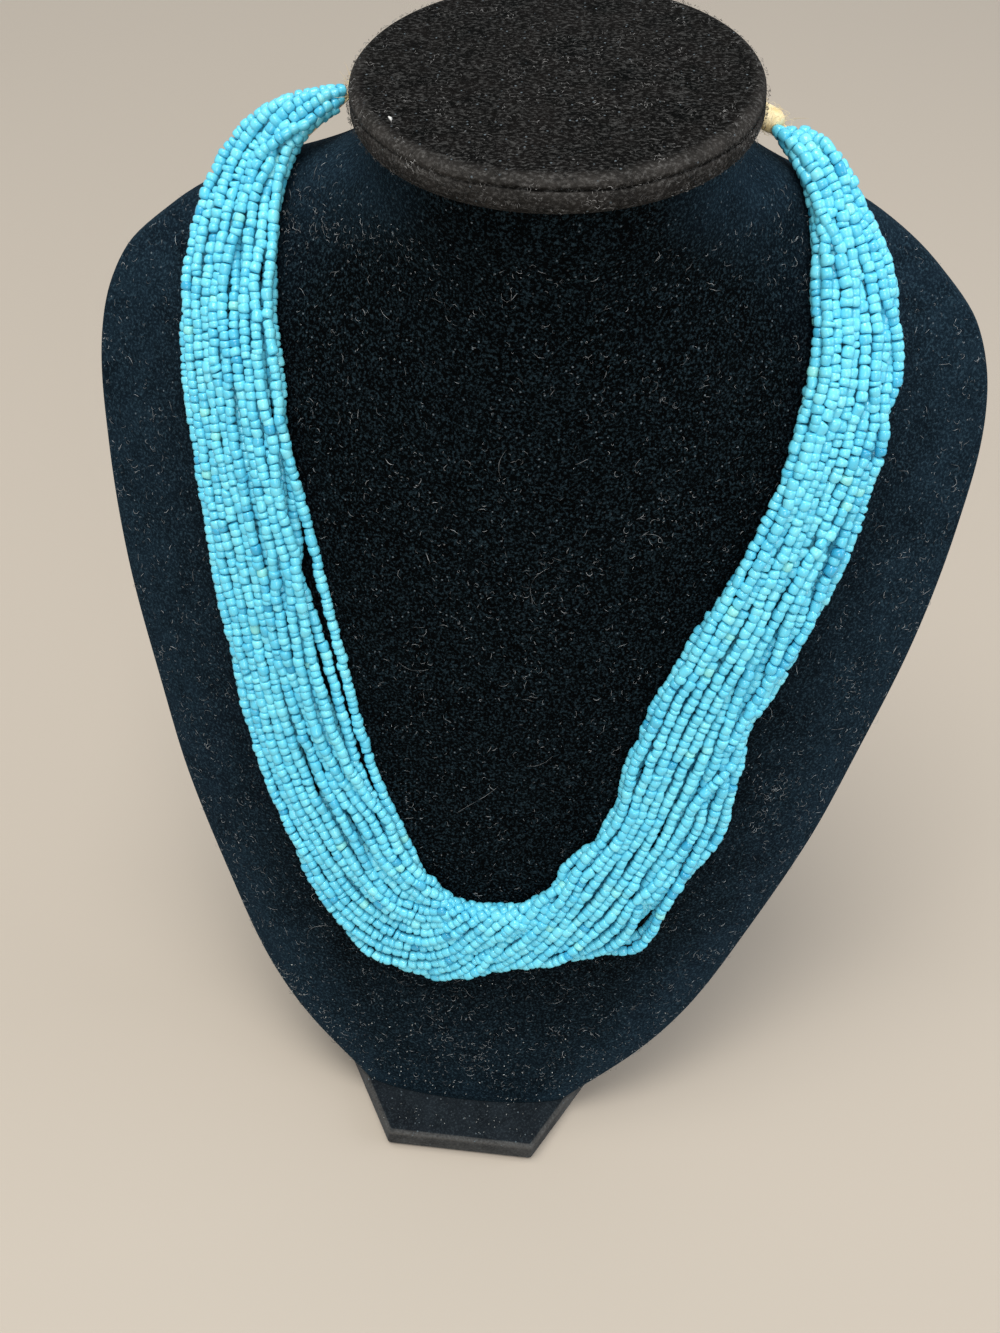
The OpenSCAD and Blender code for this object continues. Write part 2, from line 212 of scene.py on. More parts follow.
BODY = np.array([
    [0.00, 1.00, 0.00, 0.00, 0.055, 0.000, 0.54, 2.0, 2.0, 1.0],
    [0.07, 0.745, 0.255, 0.00, 0.120, 0.032, 0.54, 2.0, 2.2, 1.0],
    [0.13, 0.585, 0.415, 0.00, 0.180, 0.068, 0.545, 2.0, 2.4, 1.0],
    [0.22, 0.43, 0.57, 0.00, 0.265, 0.113, 0.555, 2.0, 2.6, 1.0],
    [0.33, 0.275, 0.725, 0.00, 0.360, 0.165, 0.57, 2.0, 2.6, 1.0],
    [0.42, 0.18, 0.82, 0.00, 0.440, 0.213, 0.60, 2.1, 2.6, 1.0],
    [0.54, 0.07, 0.93, 0.00, 0.545, 0.270, 0.665, 2.3, 2.6, 1.0],
    [0.65, 0.01, 0.99, 0.00, 0.645, 0.321, 0.745, 2.5, 2.6, 1.0],
    [0.745, 0.00, 1.00, 0.00, 0.730, 0.361, 0.825, 2.8, 2.6, 1.0],
    [0.81, 0.00, 0.92, 0.08, 0.795, 0.385, 0.867, 3.0, 2.6, 1.0],
    [0.855, 0.00, 0.74, 0.26, 0.865, 0.400, 0.885, 3.0, 2.6, 1.0],
    [0.885, 0.00, 0.57, 0.43, 0.940, 0.413, 0.887, 2.8, 2.4, 1.0],
    [0.915, 0.00, 0.37, 0.63, 1.030, 0.430, 0.880, 2.2, 2.0, 0.8],
    [0.94, 0.00, 0.18, 0.82, 1.080, 0.460, 0.960, 1.5, 1.5, 0.6],
    [0.965, 0.00, 0.04, 0.96, 1.080, 0.470, 1.000, 1.1, 1.1, 0.2],
    [1.00, 0.00, 0.00, 1.00, 1.080, 0.470, 1.000, 1.0, 1.0, 0.0],
])


def smooth(table, column, place):
    """A column's value at any place: a cubic between rows that keeps the slope of each row's neighbours."""
    x, y = table[:, 0], table[:, column]
    before = np.maximum(np.arange(len(x)) - 1, 0)
    after = np.minimum(np.arange(len(x)) + 1, len(x) - 1)
    slopes = (y[after] - y[before]) / (x[after] - x[before])
    k = np.clip(np.searchsorted(x, place, side="right") - 1, 0, len(x) - 2)
    span = x[k + 1] - x[k]
    t = (place - x[k]) / span
    rise, a, b = y[k + 1] - y[k], slopes[k] * span, slopes[k + 1] * span
    return y[k] + t * (a + t * (3 * rise - 2 * a - b + t * (a + b - 2 * rise)))


def half_width(up):
    """Half the body's width at a share of its height: the foot's, the shoulders' and the neck's, mixed."""
    return (smooth(BODY, FOOT, up) * FOOT_W + smooth(BODY, SHOULDER, up) * BUST_W
            + smooth(BODY, NECK, up) * NECK_D) / 2


def middle_x(up):
    """Where the section's middle stands sideways: the foot leans a little to the left."""
    return -LEAN * (smooth(BODY, FOOT, up) + smooth(BODY, NECK, up) / 2)


def height_at(x, up):
    """Height of a point of a section, lifted sideways where the neck's top slopes."""
    return BODY_Z + up * BODY_H + (x - middle_x(up)) * math.tan(TOP_TILT) * smooth(BODY, NECK, up)


def body_depth(column, up, neck_side):
    """A depth of the section, mixed from the table's share and the round neck's own."""
    n = smooth(BODY, NECK, up)
    return (1 - n) * (FOOT_Y + smooth(BODY, column, up) * BODY_D) + n * (NECK_Y + neck_side * NECK_R)


def chest_y(x, up):
    """Depth of the chest: a thin rim, and in front of it a half section drawn out to a power."""
    s = np.sqrt(np.maximum(0, 1 - ((x - middle_x(up)) / half_width(up)) ** 2))
    rim, edge = body_depth(RIM, up, 0), EDGE_T * smooth(BODY, EDGE, up)
    front = body_depth(FRONT, up, -1)
    return rim - edge * s ** EDGE_POWER - (rim - front - edge) * s ** smooth(BODY, FRONT_POWER, up)


def chest_point(x, up):
    """The chest's point at a place across and a share of the height."""
    return np.stack([x, chest_y(x, up), height_at(x, up)], -1)


def body_point(up, angle):
    """The section's point at an angle in radians, 0 at the right rim and a quarter turn at the back."""
    s, x = np.abs(np.sin(angle)), middle_x(up) + half_width(up) * np.cos(angle)
    rim, edge = body_depth(RIM, up, 0), EDGE_T * smooth(BODY, EDGE, up)
    back = body_depth(BACK, up, 1)
    y = rim + edge * s ** EDGE_POWER + (back - rim - edge) * s ** smooth(BODY, BACK_POWER, up)
    return np.stack([x, np.where(np.sin(angle) < 0, chest_y(x, up), y), height_at(x, up)], -1)


def chest_normal(x, up):
    """Outward way of the chest, square to small steps across it and up it."""
    step = SMALL * BODY_H
    return unit(np.cross(chest_point(x + step, up) - chest_point(x - step, up),
                         chest_point(x, up + SMALL) - chest_point(x, up - SMALL)))


def share_up(points):
    """Share of the body's height at which points lie, with the slope of the neck's top taken out."""
    level = (points[..., 2] - BODY_Z) / BODY_H
    up = np.clip(level, *NEARLY_ALL)
    return np.clip(level - (height_at(points[..., 0], up) - BODY_Z) / BODY_H + up, *NEARLY_ALL)


print("Body: neck's middle at", round(NECK_Y, 2), "mm, top at", round(TOP_Z, 2), "mm")

# %% [markdown]
# The bundle's route starts behind the left side of the neck, comes over the shoulder, lies down the
# chest, turns at the bottom and goes up the other side. These are the same points as in the
# CAD model. Each row holds a place across, a height and a depth as shares of the body's sizes, where LAID
# in place of a depth means that the strands lie on the chest, and the bundle's width and thickness there.
# A frame goes with the route: its way, its side towards the neck, and outwards from the chest.

# %% Route of the bundle
LAID = -1
ROUTE = np.array([
    [-0.448, 0.971, 0.822, 0.15, 0.48], [-0.508, 0.956, 0.808, 0.24, 0.68],
    [-0.570, 0.940, 0.792, 0.36, 0.86], [-0.615, 0.917, 0.770, 0.50, 0.92],
    [-0.652, 0.880, 0.700, 0.64, 0.84], [-0.655, 0.833, LAID, 0.72, 0.77],
    [-0.632, 0.764, LAID, 0.78, 0.73], [-0.605, 0.688, LAID, 0.76, 0.68], [-0.570, 0.607, LAID, 0.78, 0.65],
    [-0.522, 0.516, LAID, 0.86, 0.63], [-0.457, 0.430, LAID, 0.88, 0.62], [-0.365, 0.352, LAID, 0.88, 0.61],
    [-0.295, 0.307, LAID, 0.92, 0.60], [-0.214, 0.274, LAID, 0.97, 0.60], [-0.128, 0.256, LAID, 1.00, 0.60],
    [-0.030, 0.257, LAID, 0.92, 0.62], [0.070, 0.266, LAID, 0.80, 0.64], [0.160, 0.279, LAID, 0.82, 0.64],
    [0.232, 0.298, LAID, 0.88, 0.64], [0.296, 0.325, LAID, 0.92, 0.64], [0.368, 0.386, LAID, 0.87, 0.64],
    [0.442, 0.498, LAID, 0.84, 0.64], [0.508, 0.586, LAID, 0.80, 0.64], [0.570, 0.660, LAID, 0.77, 0.66],
    [0.622, 0.744, LAID, 0.73, 0.70], [0.645, 0.826, LAID, 0.70, 0.76], [0.618, 0.888, 0.674, 0.60, 0.82],
    [0.578, 0.925, 0.719, 0.46, 0.79], [0.530, 0.954, 0.756, 0.34, 0.77], [0.478, 0.968, 0.792, 0.22, 0.66],
    [0.432, 0.976, 0.818, 0.15, 0.48],
])
ARCH_FACE = np.array([0.4, -0.5, 0.77])
AHEAD = 0.25
STATION = 2.0
route_rows = np.column_stack([np.arange(len(ROUTE)), ROUTE])
laid_rows = ROUTE[:, 2] == LAID


def laid_middle(x, up, thick):
    """Middle of strands that lie on the chest: half their thickness out along its normal, no higher."""
    p = chest_point(x, up)
    return np.stack([x, p[..., 1] + (thick / 2 + LAY_GAP) / chest_normal(x, up)[..., 1], p[..., 2]], -1)


def row_frames():
    """Each route row's number, middle and outward way."""
    x = ROUTE[:, 0] * BUST_W / 2
    free = np.stack([x, FOOT_Y + ROUTE[:, 2] * BODY_D, BODY_Z + ROUTE[:, 1] * BODY_H], -1)
    arch = unit(ARCH_FACE * np.stack([np.sign(x), np.ones_like(x), np.ones_like(x)], -1))
    on = laid_rows[:, None]
    middle = np.where(on, laid_middle(x, ROUTE[:, 1], ROUTE[:, 4] * BUNDLE_T), free)
    outwards = np.where(on, chest_normal(x, ROUTE[:, 1]), arch)
    return np.column_stack([np.arange(len(ROUTE)), middle, outwards])


frames = row_frames()


def middle_at(at):
    """The bundle's middle at a running row number."""
    laid = laid_rows[np.floor(at).astype(int)] & laid_rows[np.ceil(at).astype(int)]
    thick = smooth(route_rows, 5, at) * BUNDLE_T
    on = laid_middle(smooth(route_rows, 1, at) * BUST_W / 2, smooth(route_rows, 2, at), thick)
    return np.where(laid[:, None], on, np.stack([smooth(frames, k, at) for k in (1, 2, 3)], -1))


last_row = len(ROUTE) - 1.0
fine = np.linspace(0, last_row, 1200)
fine_way = np.append(0, np.cumsum(np.linalg.norm(np.diff(middle_at(fine), axis=0), axis=1)))
stations = int(round(fine_way[-1] / STATION))
along = np.linspace(0, fine_way[-1], stations)
at = np.interp(along, fine_way, fine)
middle = middle_at(at)
way = unit(middle_at(np.minimum(at + AHEAD, last_row)) - middle_at(np.maximum(at - AHEAD, 0)))
out = square_to(np.stack([smooth(frames, k, at) for k in (4, 5, 6)], -1), way)
side = np.cross(out, way)
half_w = smooth(route_rows, 4, at) * BUNDLE_W / 2
half_t = smooth(route_rows, 5, at) * BUNDLE_T / 2
print("Route:", round(fine_way[-1]), "mm long,", stations, "stations")

# %% [markdown]
# Twenty two strands share the bundle. Real strands were never combed straight: each one wanders, gives
# way to its neighbours and sinks into the gaps under it, and at the bottom the whole hank makes three
# quarters of a turn, so that the strands on top run slantwise there. A rope tool would lay them too
# evenly. Here every strand has a home on a flat ring that turns along the route, or inside it, and then
# all of them are pushed apart, drawn home and made smooth again, some hundreds of times, as they would
# settle when the necklace is laid down. A strand may stand a little proud of the others in slow waves,
# and over the left shoulder the beads are a tenth smaller. Each wave has a size and a length, and each
# row of the turn's table holds a row of the route and an angle in radians.

# %% Numbers of the hank
STRANDS = 22
INSIDE = 3
STRAY = 0
BEAD_R = BEAD_D / 2
THREAD_R = 0.28
SMALL_BEADS = [0.16, 0.36], [0.90, 1.0]
TAPER = 22
SPREAD = 0.7
REACH = 1.10
WANDER, WANDER_LENGTH = 1.2, 80
TURN_WANDER, TURN_WANDER_LENGTH = 0.12, 110
PROUD, PROUD_LENGTH = 0.42, 70
WIGGLE, WIGGLE_LENGTH = 0.22, 18
GATHERED_MM, GATHERED_NARROWS = 45, 0.8
SETTLE_STEPS = 500
PULL_HOME, PUSH, EASE_ACROSS, EASE_THROUGH = 0.05, 0.25, 0.6, 0.5
TURN_ROWS = np.array([[0.0, 0.10], [8.0, 0.05], [11.0, -0.10], [12.5, -0.25], [13.5, -0.60],
                      [14.5, -1.50], [16.0, -3.20], [17.3, -4.30], [18.5, -4.70], [21.0, -4.85],
                      [27.0, -5.00], [30.0, -5.00]])
print("Strands:", STRANDS, "- beads", BEAD_D, "mm across")

# %% Waves, and the beads' share and size
def wander(size, wavelength):
    """A slow random wave for each strand over the stations: four sines of random pace, phase and height."""
    total = np.zeros((STRANDS, len(along)))
    for _ in range(4):
        phase = rng.uniform(0, TAU, (STRANDS, 1))
        pace = TAU / (wavelength * rng.uniform(0.6, 1.8, (STRANDS, 1)))
        total += rng.normal(0, 0.5, (STRANDS, 1)) * np.sin(along * pace + phase)
    return total * size


def bead_share(ends):
    """How much of each strand is beaded at each station: none before its first bead, all of it after."""
    start, finish = ends[:, :1], ends[:, 1:]
    return np.clip((along - start) / 2 + 0.5, 0, 1) * np.clip((finish - along) / 2 + 0.5, 0, 1)


def bead_size(share):
    """How large the beads are at a share of a strand's length: smaller over the left shoulder."""
    return np.interp(share, *SMALL_BEADS)


print("Beads over the left shoulder:", round(float(BEAD_D * bead_size(0)), 2), "mm")

# %% Room in the bundle, and pushing apart
def keep_inside(u, t, radius, proud):
    """Holds points inside the bundle's rounded section: sideways first, and then by the height it has
    there, which is the fourth root of 1 less the fourth power of the place across. A strand may stand
    proud of the top by its own slow wave. Near the wraps the underside is narrower than the top."""
    w, h = np.maximum(half_w + SPREAD - radius, 0.15), np.maximum(half_t + SPREAD / 2 - radius, 0.15)
    gathered = np.clip(1 - np.minimum(along, along[-1] - along) / GATHERED_MM, 0, 1)
    w = w * (1 - GATHERED_NARROWS * gathered * np.clip(-t / h, 0, 1))
    u = np.clip(u, -w, w)
    room = h * (1 - (0.97 * u / w) ** 4) ** (1 / 4)
    return u, np.clip(t, -room, room + proud)


def push_apart(u, t, radius, share):
    """Moves each pair of strands that overlap in a section away from each other by a share of the overlap.
    A strand that slants through the section is wider there, so its sideways distance counts for less."""
    slant = 1 / np.sqrt(1 + (np.gradient(u, axis=1) / STATION) ** 2)
    du, dt = u[:, None] - u[None], t[:, None] - t[None]
    squeeze = (slant[:, None] + slant[None]) / 2
    distance = np.sqrt((du * squeeze) ** 2 + dt ** 2) + 1e-6
    over = np.clip(radius[:, None] + radius[None] - distance, 0, None) * share
    over[np.arange(STRANDS), np.arange(STRANDS)] = 0
    return u + (over * du * squeeze / distance).sum(1), t + (over * dt / distance).sum(1)


def ease(v, share):
    """Moves each station's value towards the mean of its two neighbours."""
    v = v.copy()
    v[:, 1:-1] += share * ((v[:, :-2] + v[:, 2:]) / 2 - v[:, 1:-1])
    return v


print("Widest room:", round(2 * float(half_w.max()), 1), "by", round(2 * float(half_t.max()), 1), "mm")

# %% Homes of the strands
def bead_ends_along(ring_angle, turned_by):
    """Where each strand's beads start and end on the route: a strand that shows more is beaded further."""
    inside = np.arange(STRANDS) >= STRANDS - INSIDE
    taper = []
    for turned in (turned_by[0], turned_by[-1]):
        seen = np.sin(ring_angle + turned) + 0.9 * np.cos(ring_angle + turned) - 3 * inside
        rank = np.argsort(np.argsort(-seen))
        taper.append(0.2 + TAPER * (rank / STRANDS) ** 1.2)
    return np.stack([taper[0], along[-1] - taper[1]], -1)


def homes(angle, beaded):
    """Each strand's home across and through the bundle: on a flat ring, evenly across by its angle, or
    inside it. Bare thread lies low."""
    on_ring = (np.arange(STRANDS) < STRANDS - INSIDE)[:, None]
    even = np.where(on_ring, np.arcsin(np.cos(angle)) * 2 / math.pi, np.cos(2 * angle) * 0.6)
    home_u = even * REACH * (half_w + SPREAD - BEAD_R) + wander(WANDER, WANDER_LENGTH) * beaded
    home_t = on_ring * np.sign(np.sin(angle)) * np.abs(np.sin(angle)) ** 0.4 * (half_t - BEAD_R)
    return home_u, home_t * beaded - (1 - beaded) * half_t


print("Homes:", STRANDS - INSIDE, "on the ring and", INSIDE, "inside it")

# %% [markdown]
# The outline of the hank isn't even either. A table of bulges moves the edge strands out or in: each has
# a row of the route, an edge (1 towards the neck, -1 away from it), a reach and a distance in mm.

# %% Let the strands settle
BULGES = np.array([[5.6, -1, 25.0, 1.5], [13.8, -1, 16.0, 4.2], [15.6, -1, 8.0, -2.2],
                   [18.4, -1, 6.5, 5.2], [20.3, -1, 10.0, 3.2], [21.3, -1, 9.0, -2.6],
                   [23.4, -1, 22.0, 1.2], [27.2, -1, 14.0, -2.8], [10.7, 1, 8.0, 1.8],
                   [14.6, 1, 10.0, 2.8], [17.2, 1, 14.0, -2.0], [20.2, 1, 12.0, -2.8],
                   [21.5, 1, 7.0, 1.0], [24.1, 1, 32.0, -2.3]])


def settle():
    """Places of the strands across and through the bundle at each station, and their radius there."""
    ring_angle = np.arange(STRANDS) * TAU / (STRANDS - INSIDE)
    turned_by = smooth(TURN_ROWS, 1, at)
    ends = bead_ends_along(ring_angle, turned_by)
    beaded = bead_share(ends)
    radius = THREAD_R + (BEAD_R * bead_size(along / along[-1]) - THREAD_R) * beaded
    proud = wander(PROUD, PROUD_LENGTH)
    angle = ring_angle[:, None] + turned_by + wander(TURN_WANDER, TURN_WANDER_LENGTH)
    home_u, home_t = homes(angle, beaded)
    u, t = home_u.copy(), home_t.copy()
    for step in range(SETTLE_STEPS):
        late = step / SETTLE_STEPS
        pull = PULL_HOME * (1 - 0.7 * late)
        u, t = u + pull * (home_u - u), t + pull * (home_t - t)
        u, t = push_apart(u, t, radius, PUSH)
        u, t = keep_inside(u, t, radius, proud)
        u, t = ease(u, EASE_ACROSS), ease(t, EASE_THROUGH)
    for row, edge, reach, outwards in BULGES:
        near = np.exp(-((along - np.interp(row, at, along)) / reach) ** 2)
        u += edge * outwards * near * np.clip(edge * u / half_w, 0, 1) ** 2
    u += wander(WIGGLE, WIGGLE_LENGTH) * beaded
    t += wander(WIGGLE, WIGGLE_LENGTH) * beaded
    return u, t, radius, ends


across, through, strand_r, strand_ends = settle()
lines = middle + across[..., None] * side + through[..., None] * out
gaps = np.linalg.norm(lines[:, None] - lines[None], axis=-1) + 9 * np.eye(STRANDS)[..., None]
print("Strands:", STRANDS, "- closest pair", round(float(gaps[..., 40:-40].min()), 2), "mm")

# %% [markdown]
# A strand can't sink into the bust, so every point of it is lifted off the velvet by its own radius. One
# strand has slipped out of the left side of the bundle and hangs on the chest by itself, so it leaves its
# place in the bundle, follows its own listed points and comes back further down.

# %% Lift the strands off the chest, and lead the stray one
STRAY_ROUTE = np.array([[-0.458, 0.662], [-0.443, 0.638], [-0.419, 0.604], [-0.390, 0.562], [-0.368, 0.526],
                        [-0.338, 0.480], [-0.303, 0.436], [-0.266, 0.400], [-0.240, 0.380]])
STRAY_LEAVES, STRAY_JOINS = 6.3, 13.1
PRESSED_IN = 0.25
CHEST_SHARE, CHEST_TOP = 0.995, 0.95


def lift_off(points, radius):
    """Moves points outwards along the chest's normal until they clear it by their radius, less a little
    that the beads press into the pile."""
    up = share_up(points)
    reach = half_width(up) * CHEST_SHARE
    x = np.clip(points[..., 0], middle_x(up) - reach, middle_x(up) + reach)
    normal = chest_normal(x, up)
    height = (chest_y(x, up) - points[..., 1]) * -normal[..., 1]
    over = (up < CHEST_TOP) & (np.abs(points[..., 0] - x) < 0.01)
    lack = np.where(over, np.clip(radius - PRESSED_IN - height, 0, 4), 0)
    return points + normal * lack[..., None]


def resample(points, spacing):
    """Points spaced evenly along a line through the given ones."""
    length = np.append(0, np.cumsum(np.linalg.norm(np.diff(points, axis=0), axis=1)))
    places = np.linspace(0, length[-1], int(length[-1] / spacing) + 1)
    return np.stack([np.interp(places, length, points[:, k]) for k in range(3)], -1)


def ease_line(line, times):
    """Smooths a line's points, its two ends held."""
    for _ in range(times):
        line[1:-1] += 0.5 * ((line[:-2] + line[2:]) / 2 - line[1:-1])
    return line


def stray_line():
    """The stray strand's whole line: in the bundle, over its own route, and in the bundle again."""
    rows = np.column_stack([np.arange(len(STRAY_ROUTE)), STRAY_ROUTE])
    place = np.linspace(0, len(STRAY_ROUTE) - 1, 60)
    x, up = smooth(rows, 1, place) * BUST_W / 2, smooth(rows, 2, place)
    apart = chest_point(x, up) + chest_normal(x, up) * (BEAD_R - PRESSED_IN)
    before = lines[STRAY][at < STRAY_LEAVES]
    after = lines[STRAY][at > STRAY_JOINS]
    line = ease_line(resample(np.concatenate([before, apart, after]), 1.0), 12)
    for _ in range(3):
        line = ease_line(lift_off(line, np.full(len(line), BEAD_R)), 2)
    top, bottom = apart[0], apart[-1]
    return line, [int(np.argmin(np.linalg.norm(line - p, axis=1))) for p in (top, bottom)]


for _ in range(3):
    lines = lift_off(lines, strand_r)
stray, (stray_top, stray_bottom) = stray_line()
print("Stray strand:", stray_bottom - stray_top, "mm of it lies apart")

# %% [markdown]
# Size 8 seed beads are cut from a drawn glass tube and tumbled in heat, so each is a short cylinder with
# soft rims, its ends seldom square and its length never the same. A modelled bead could be instanced on
# the strand, but instances would all be one shape. Here one bead of a few dozen faces is a small table of
# rings, and every copy of it gets its own diameter, length, slant and tilt in one array.

# %% One bead, and beads threaded along a line
BEAD_SIDES = 9
BEAD_RINGS = np.array([[-1.01, 0.60], [-0.88, 0.88], [-0.44, 1.0], [0.44, 1.0], [0.88, 0.88], [1.01, 0.60]])
BEAD_LENGTH, THIN_LENGTH, TALL_LENGTH = 2.08, 1.25, 3.0
THIN_SHARE, TALL_SHARE = 0.05, 0.03
DEEP_SHARE, GREEN_SHARE = 0.010, 0.012
ASKEW_WAY, ASKEW_MM, SLANTED_END = 0.13, 0.13, 0.16


def bead_template():
    """Points of one bead of radius and half length one, its rings closed by a flat face at each end."""
    a = np.arange(BEAD_SIDES) / BEAD_SIDES * TAU
    circle = np.stack([np.cos(a), np.sin(a)], -1)
    points = np.concatenate([np.column_stack([circle * r, np.full(BEAD_SIDES, z)]) for z, r in BEAD_RINGS])
    quads = grid_faces(len(BEAD_RINGS), BEAD_SIDES)
    first = np.arange(BEAD_SIDES)[::-1][None]
    last = np.arange(BEAD_SIDES)[None] + (len(BEAD_RINGS) - 1) * BEAD_SIDES
    return points, quads, np.concatenate([first, last])


bead_points, bead_quads, bead_ends = bead_template()


def thread_beads(line, start, finish):
    """Beads on a line between two distances: middles, ways, radii, half lengths, tones and distances."""
    length = np.append(0, np.cumsum(np.linalg.norm(np.diff(line, axis=0), axis=1)))
    count = int((finish - start) / BEAD_LENGTH * 1.4) + 4
    kind = rng.uniform(0, 1, count)
    long = np.clip(rng.normal(BEAD_LENGTH, 0.27, count), 1.5, 2.8)
    long = np.where(kind < THIN_SHARE, THIN_LENGTH, np.where(kind > 1 - TALL_SHARE, TALL_LENGTH, long))
    size = bead_size((start + np.arange(count) * BEAD_LENGTH) / length[-1])
    long *= size
    ends = start + np.append(0, np.cumsum(long))
    keep = np.flatnonzero(ends[1:] < finish)
    ends = ends[:len(keep) + 1]
    joints = np.stack([np.interp(ends, length, line[:, k]) for k in range(3)], -1)
    n = len(keep)
    r = np.clip(rng.normal(BEAD_R - 0.06, 0.09, n) + rng.normal(0, 0.03), 1.2, 1.65) * size[:n]
    tone = np.clip(rng.normal(0.5, 0.12, n) + rng.normal(0, 0.04), 0.05, 0.95)
    odd = rng.uniform(0, 1, n)
    tone = np.where(odd < DEEP_SHARE, 0.0, np.where(odd > 1 - GREEN_SHARE, 1.0, tone))
    return (joints[:-1] + joints[1:]) / 2, unit(np.diff(joints, axis=0)), r, long[:n] / 2, tone, ends[:-1]


def bead_mesh(beads):
    """Points, faces and tones of a group of beads: the one bead scaled, slanted, turned and moved."""
    centre, axis, radius, half, tone = beads
    n = len(centre)
    axis = unit(axis + rng.normal(0, ASKEW_WAY, (n, 3)))
    centre = centre + rng.normal(0, ASKEW_MM, (n, 3))
    first = square_to(rng.normal(0, 1, (n, 3)), axis)
    second = np.cross(axis, first)
    slant = rng.normal(0, SLANTED_END, (n, 1, 2))
    shape = np.broadcast_to(bead_points, (n, *bead_points.shape)).copy()
    shape[..., 2] *= 1 + (shape[..., :2] * slant).sum(-1)
    shape[..., :2] *= radius[:, None, None]
    shape[..., 2] *= half[:, None]
    world = (centre[:, None] + shape[..., :1] * first[:, None] + shape[..., 1:2] * second[:, None]
             + shape[..., 2:] * axis[:, None])
    shift = (np.arange(n) * len(bead_points))[:, None, None]
    faces = [(bead_quads + shift).reshape(-1, 4), (bead_ends + shift).reshape(-1, BEAD_SIDES)]
    return world.reshape(-1, 3), faces, np.repeat(tone, len(bead_points))


print("One bead:", len(bead_quads) + 2, "faces")

# %% [markdown]
# The beads are opaque turquoise glass, fire polished: a clean, slightly soft gloss over an even colour.
# Glass rods vary from batch to batch, so a few beads are deeper or greener, and the colour of each comes
# from a number stored on its points. A faint cloudiness inside a bead keeps its colour from looking like
# paint.

# %% Turquoise glass
glass, shader = new_material("turquoise_opaque_glass_fire_polished")
tone = add(glass, "ShaderNodeAttribute", attribute_name="bead_tone")
place = add(glass, "ShaderNodeTexCoord").outputs["Object"]
CLOUD_MM = 1.6
cloud = add(glass, "ShaderNodeTexNoise", {"Vector": place, "Scale": 1000 / CLOUD_MM, "Detail": 2.0})
faint = add(glass, "ShaderNodeMath", {0: cloud.outputs["Fac"], 1: 0.30, 2: -0.15},
            operation="MULTIPLY_ADD")
total = add(glass, "ShaderNodeMath", {0: tone.outputs["Fac"], 1: faint.outputs["Value"]}, operation="ADD")
colour = add(glass, "ShaderNodeValToRGB", {"Fac": total.outputs["Value"]},
             [(0.0, "#38a6cc"), (0.3, "#5ac6e3"), (0.55, "#6bd3ea"), (0.8, "#7eddee"), (1.0, "#86dcdc")])
link(glass, shader, {"Base Color": colour.outputs["Color"], "Roughness": 0.18, "IOR": 1.52})
print("Cloudiness inside a bead:", CLOUD_MM, "mm across")

# %% [markdown]
# The strands are cut into five pieces by their place on the route, so that none of the meshes gets too
# heavy, and the stray strand is a piece of its own. Together they stand for the plain bundle of the CAD
# model.

# %% Thread the beads
PIECES = [("beads_left_shoulder", 0.18), ("beads_left_chest", 0.40), ("beads_front", 0.62),
          ("beads_right_chest", 0.83), ("beads_right_shoulder", 1.01)]


def strand_length(line):
    """Length of a line through its points."""
    return float(np.linalg.norm(np.diff(line, axis=0), axis=1).sum())


groups = {name: [] for name, _ in PIECES}
stray_beads, strand_total, bead_total = [], 0.0, 0
for number in range(STRANDS):
    line = stray if number == STRAY else resample(lines[number], 1.0)
    whole = strand_length(line)
    strand_total += whole
    start, finish = strand_ends[number, 0], whole - (along[-1] - strand_ends[number, 1])
    beads = thread_beads(line, start, finish)
    bead_total += len(beads[0])
    share, low = beads[5] / whole, 0.0
    apart = (beads[5] >= stray_top) & (beads[5] < stray_bottom) & (number == STRAY)
    stray_beads.append([part[apart] for part in beads[:5]])
    for name, high in PIECES:
        here = (share >= low) & (share < high) & ~apart
        groups[name].append([part[here] for part in beads[:5]])
        low = high
for name, _ in PIECES:
    points, faces, tones = bead_mesh([np.concatenate(parts) for parts in zip(*groups[name])])
    add_piece(name, points, faces, glass, ["bead_bundle"], {"bead_tone": tones})
points, faces, tones = bead_mesh([np.concatenate(parts) for parts in zip(*stray_beads)])
add_piece("beads_stray_strand", points, faces, glass, ["stray_strand"], {"bead_tone": tones})
print(bead_total, "beads on", round(strand_total / 1000, 2), "m of strand")

# %% [markdown]
# Past its last bead a strand is bare thread, and all the threads run together into the wrap, which is the
# same cream cotton wound round and round them. Behind the neck a plain cord of three twisted plies goes
# on to the clasp. A curve with a bevel would give smooth pipes, so these are tubes whose radius follows
# the turns.

# %% Tubes along lines
NEARLY_UP = [0.13, 0.21, 0.97]


def tube_points(line, radius, sides, lobes=1.0):
    """Rings square to a line, first to last point. radius is one number a point, and lobes may change it
    by place along the line and angle round it, as an array of factors."""
    heading = unit(np.gradient(line, axis=0))
    first = square_to(np.broadcast_to(NEARLY_UP, line.shape), heading)
    second = np.cross(heading, first)
    a = np.arange(sides)[None, :, None] / sides * TAU
    r = radius[:, None] * lobes * np.ones((len(line), sides))
    ring = np.cos(a) * first[:, None] + np.sin(a) * second[:, None]
    return (line[:, None] + r[..., None] * ring).reshape(-1, 3)


def tube_faces(rows, sides, first=0):
    """Faces of a closed tube: quads along it and one face at each end."""
    start = np.arange(sides)[::-1][None] + first
    finish = np.arange(sides)[None] + (rows - 1) * sides + first
    return grid_faces(rows, sides, first), np.concatenate([start, finish])


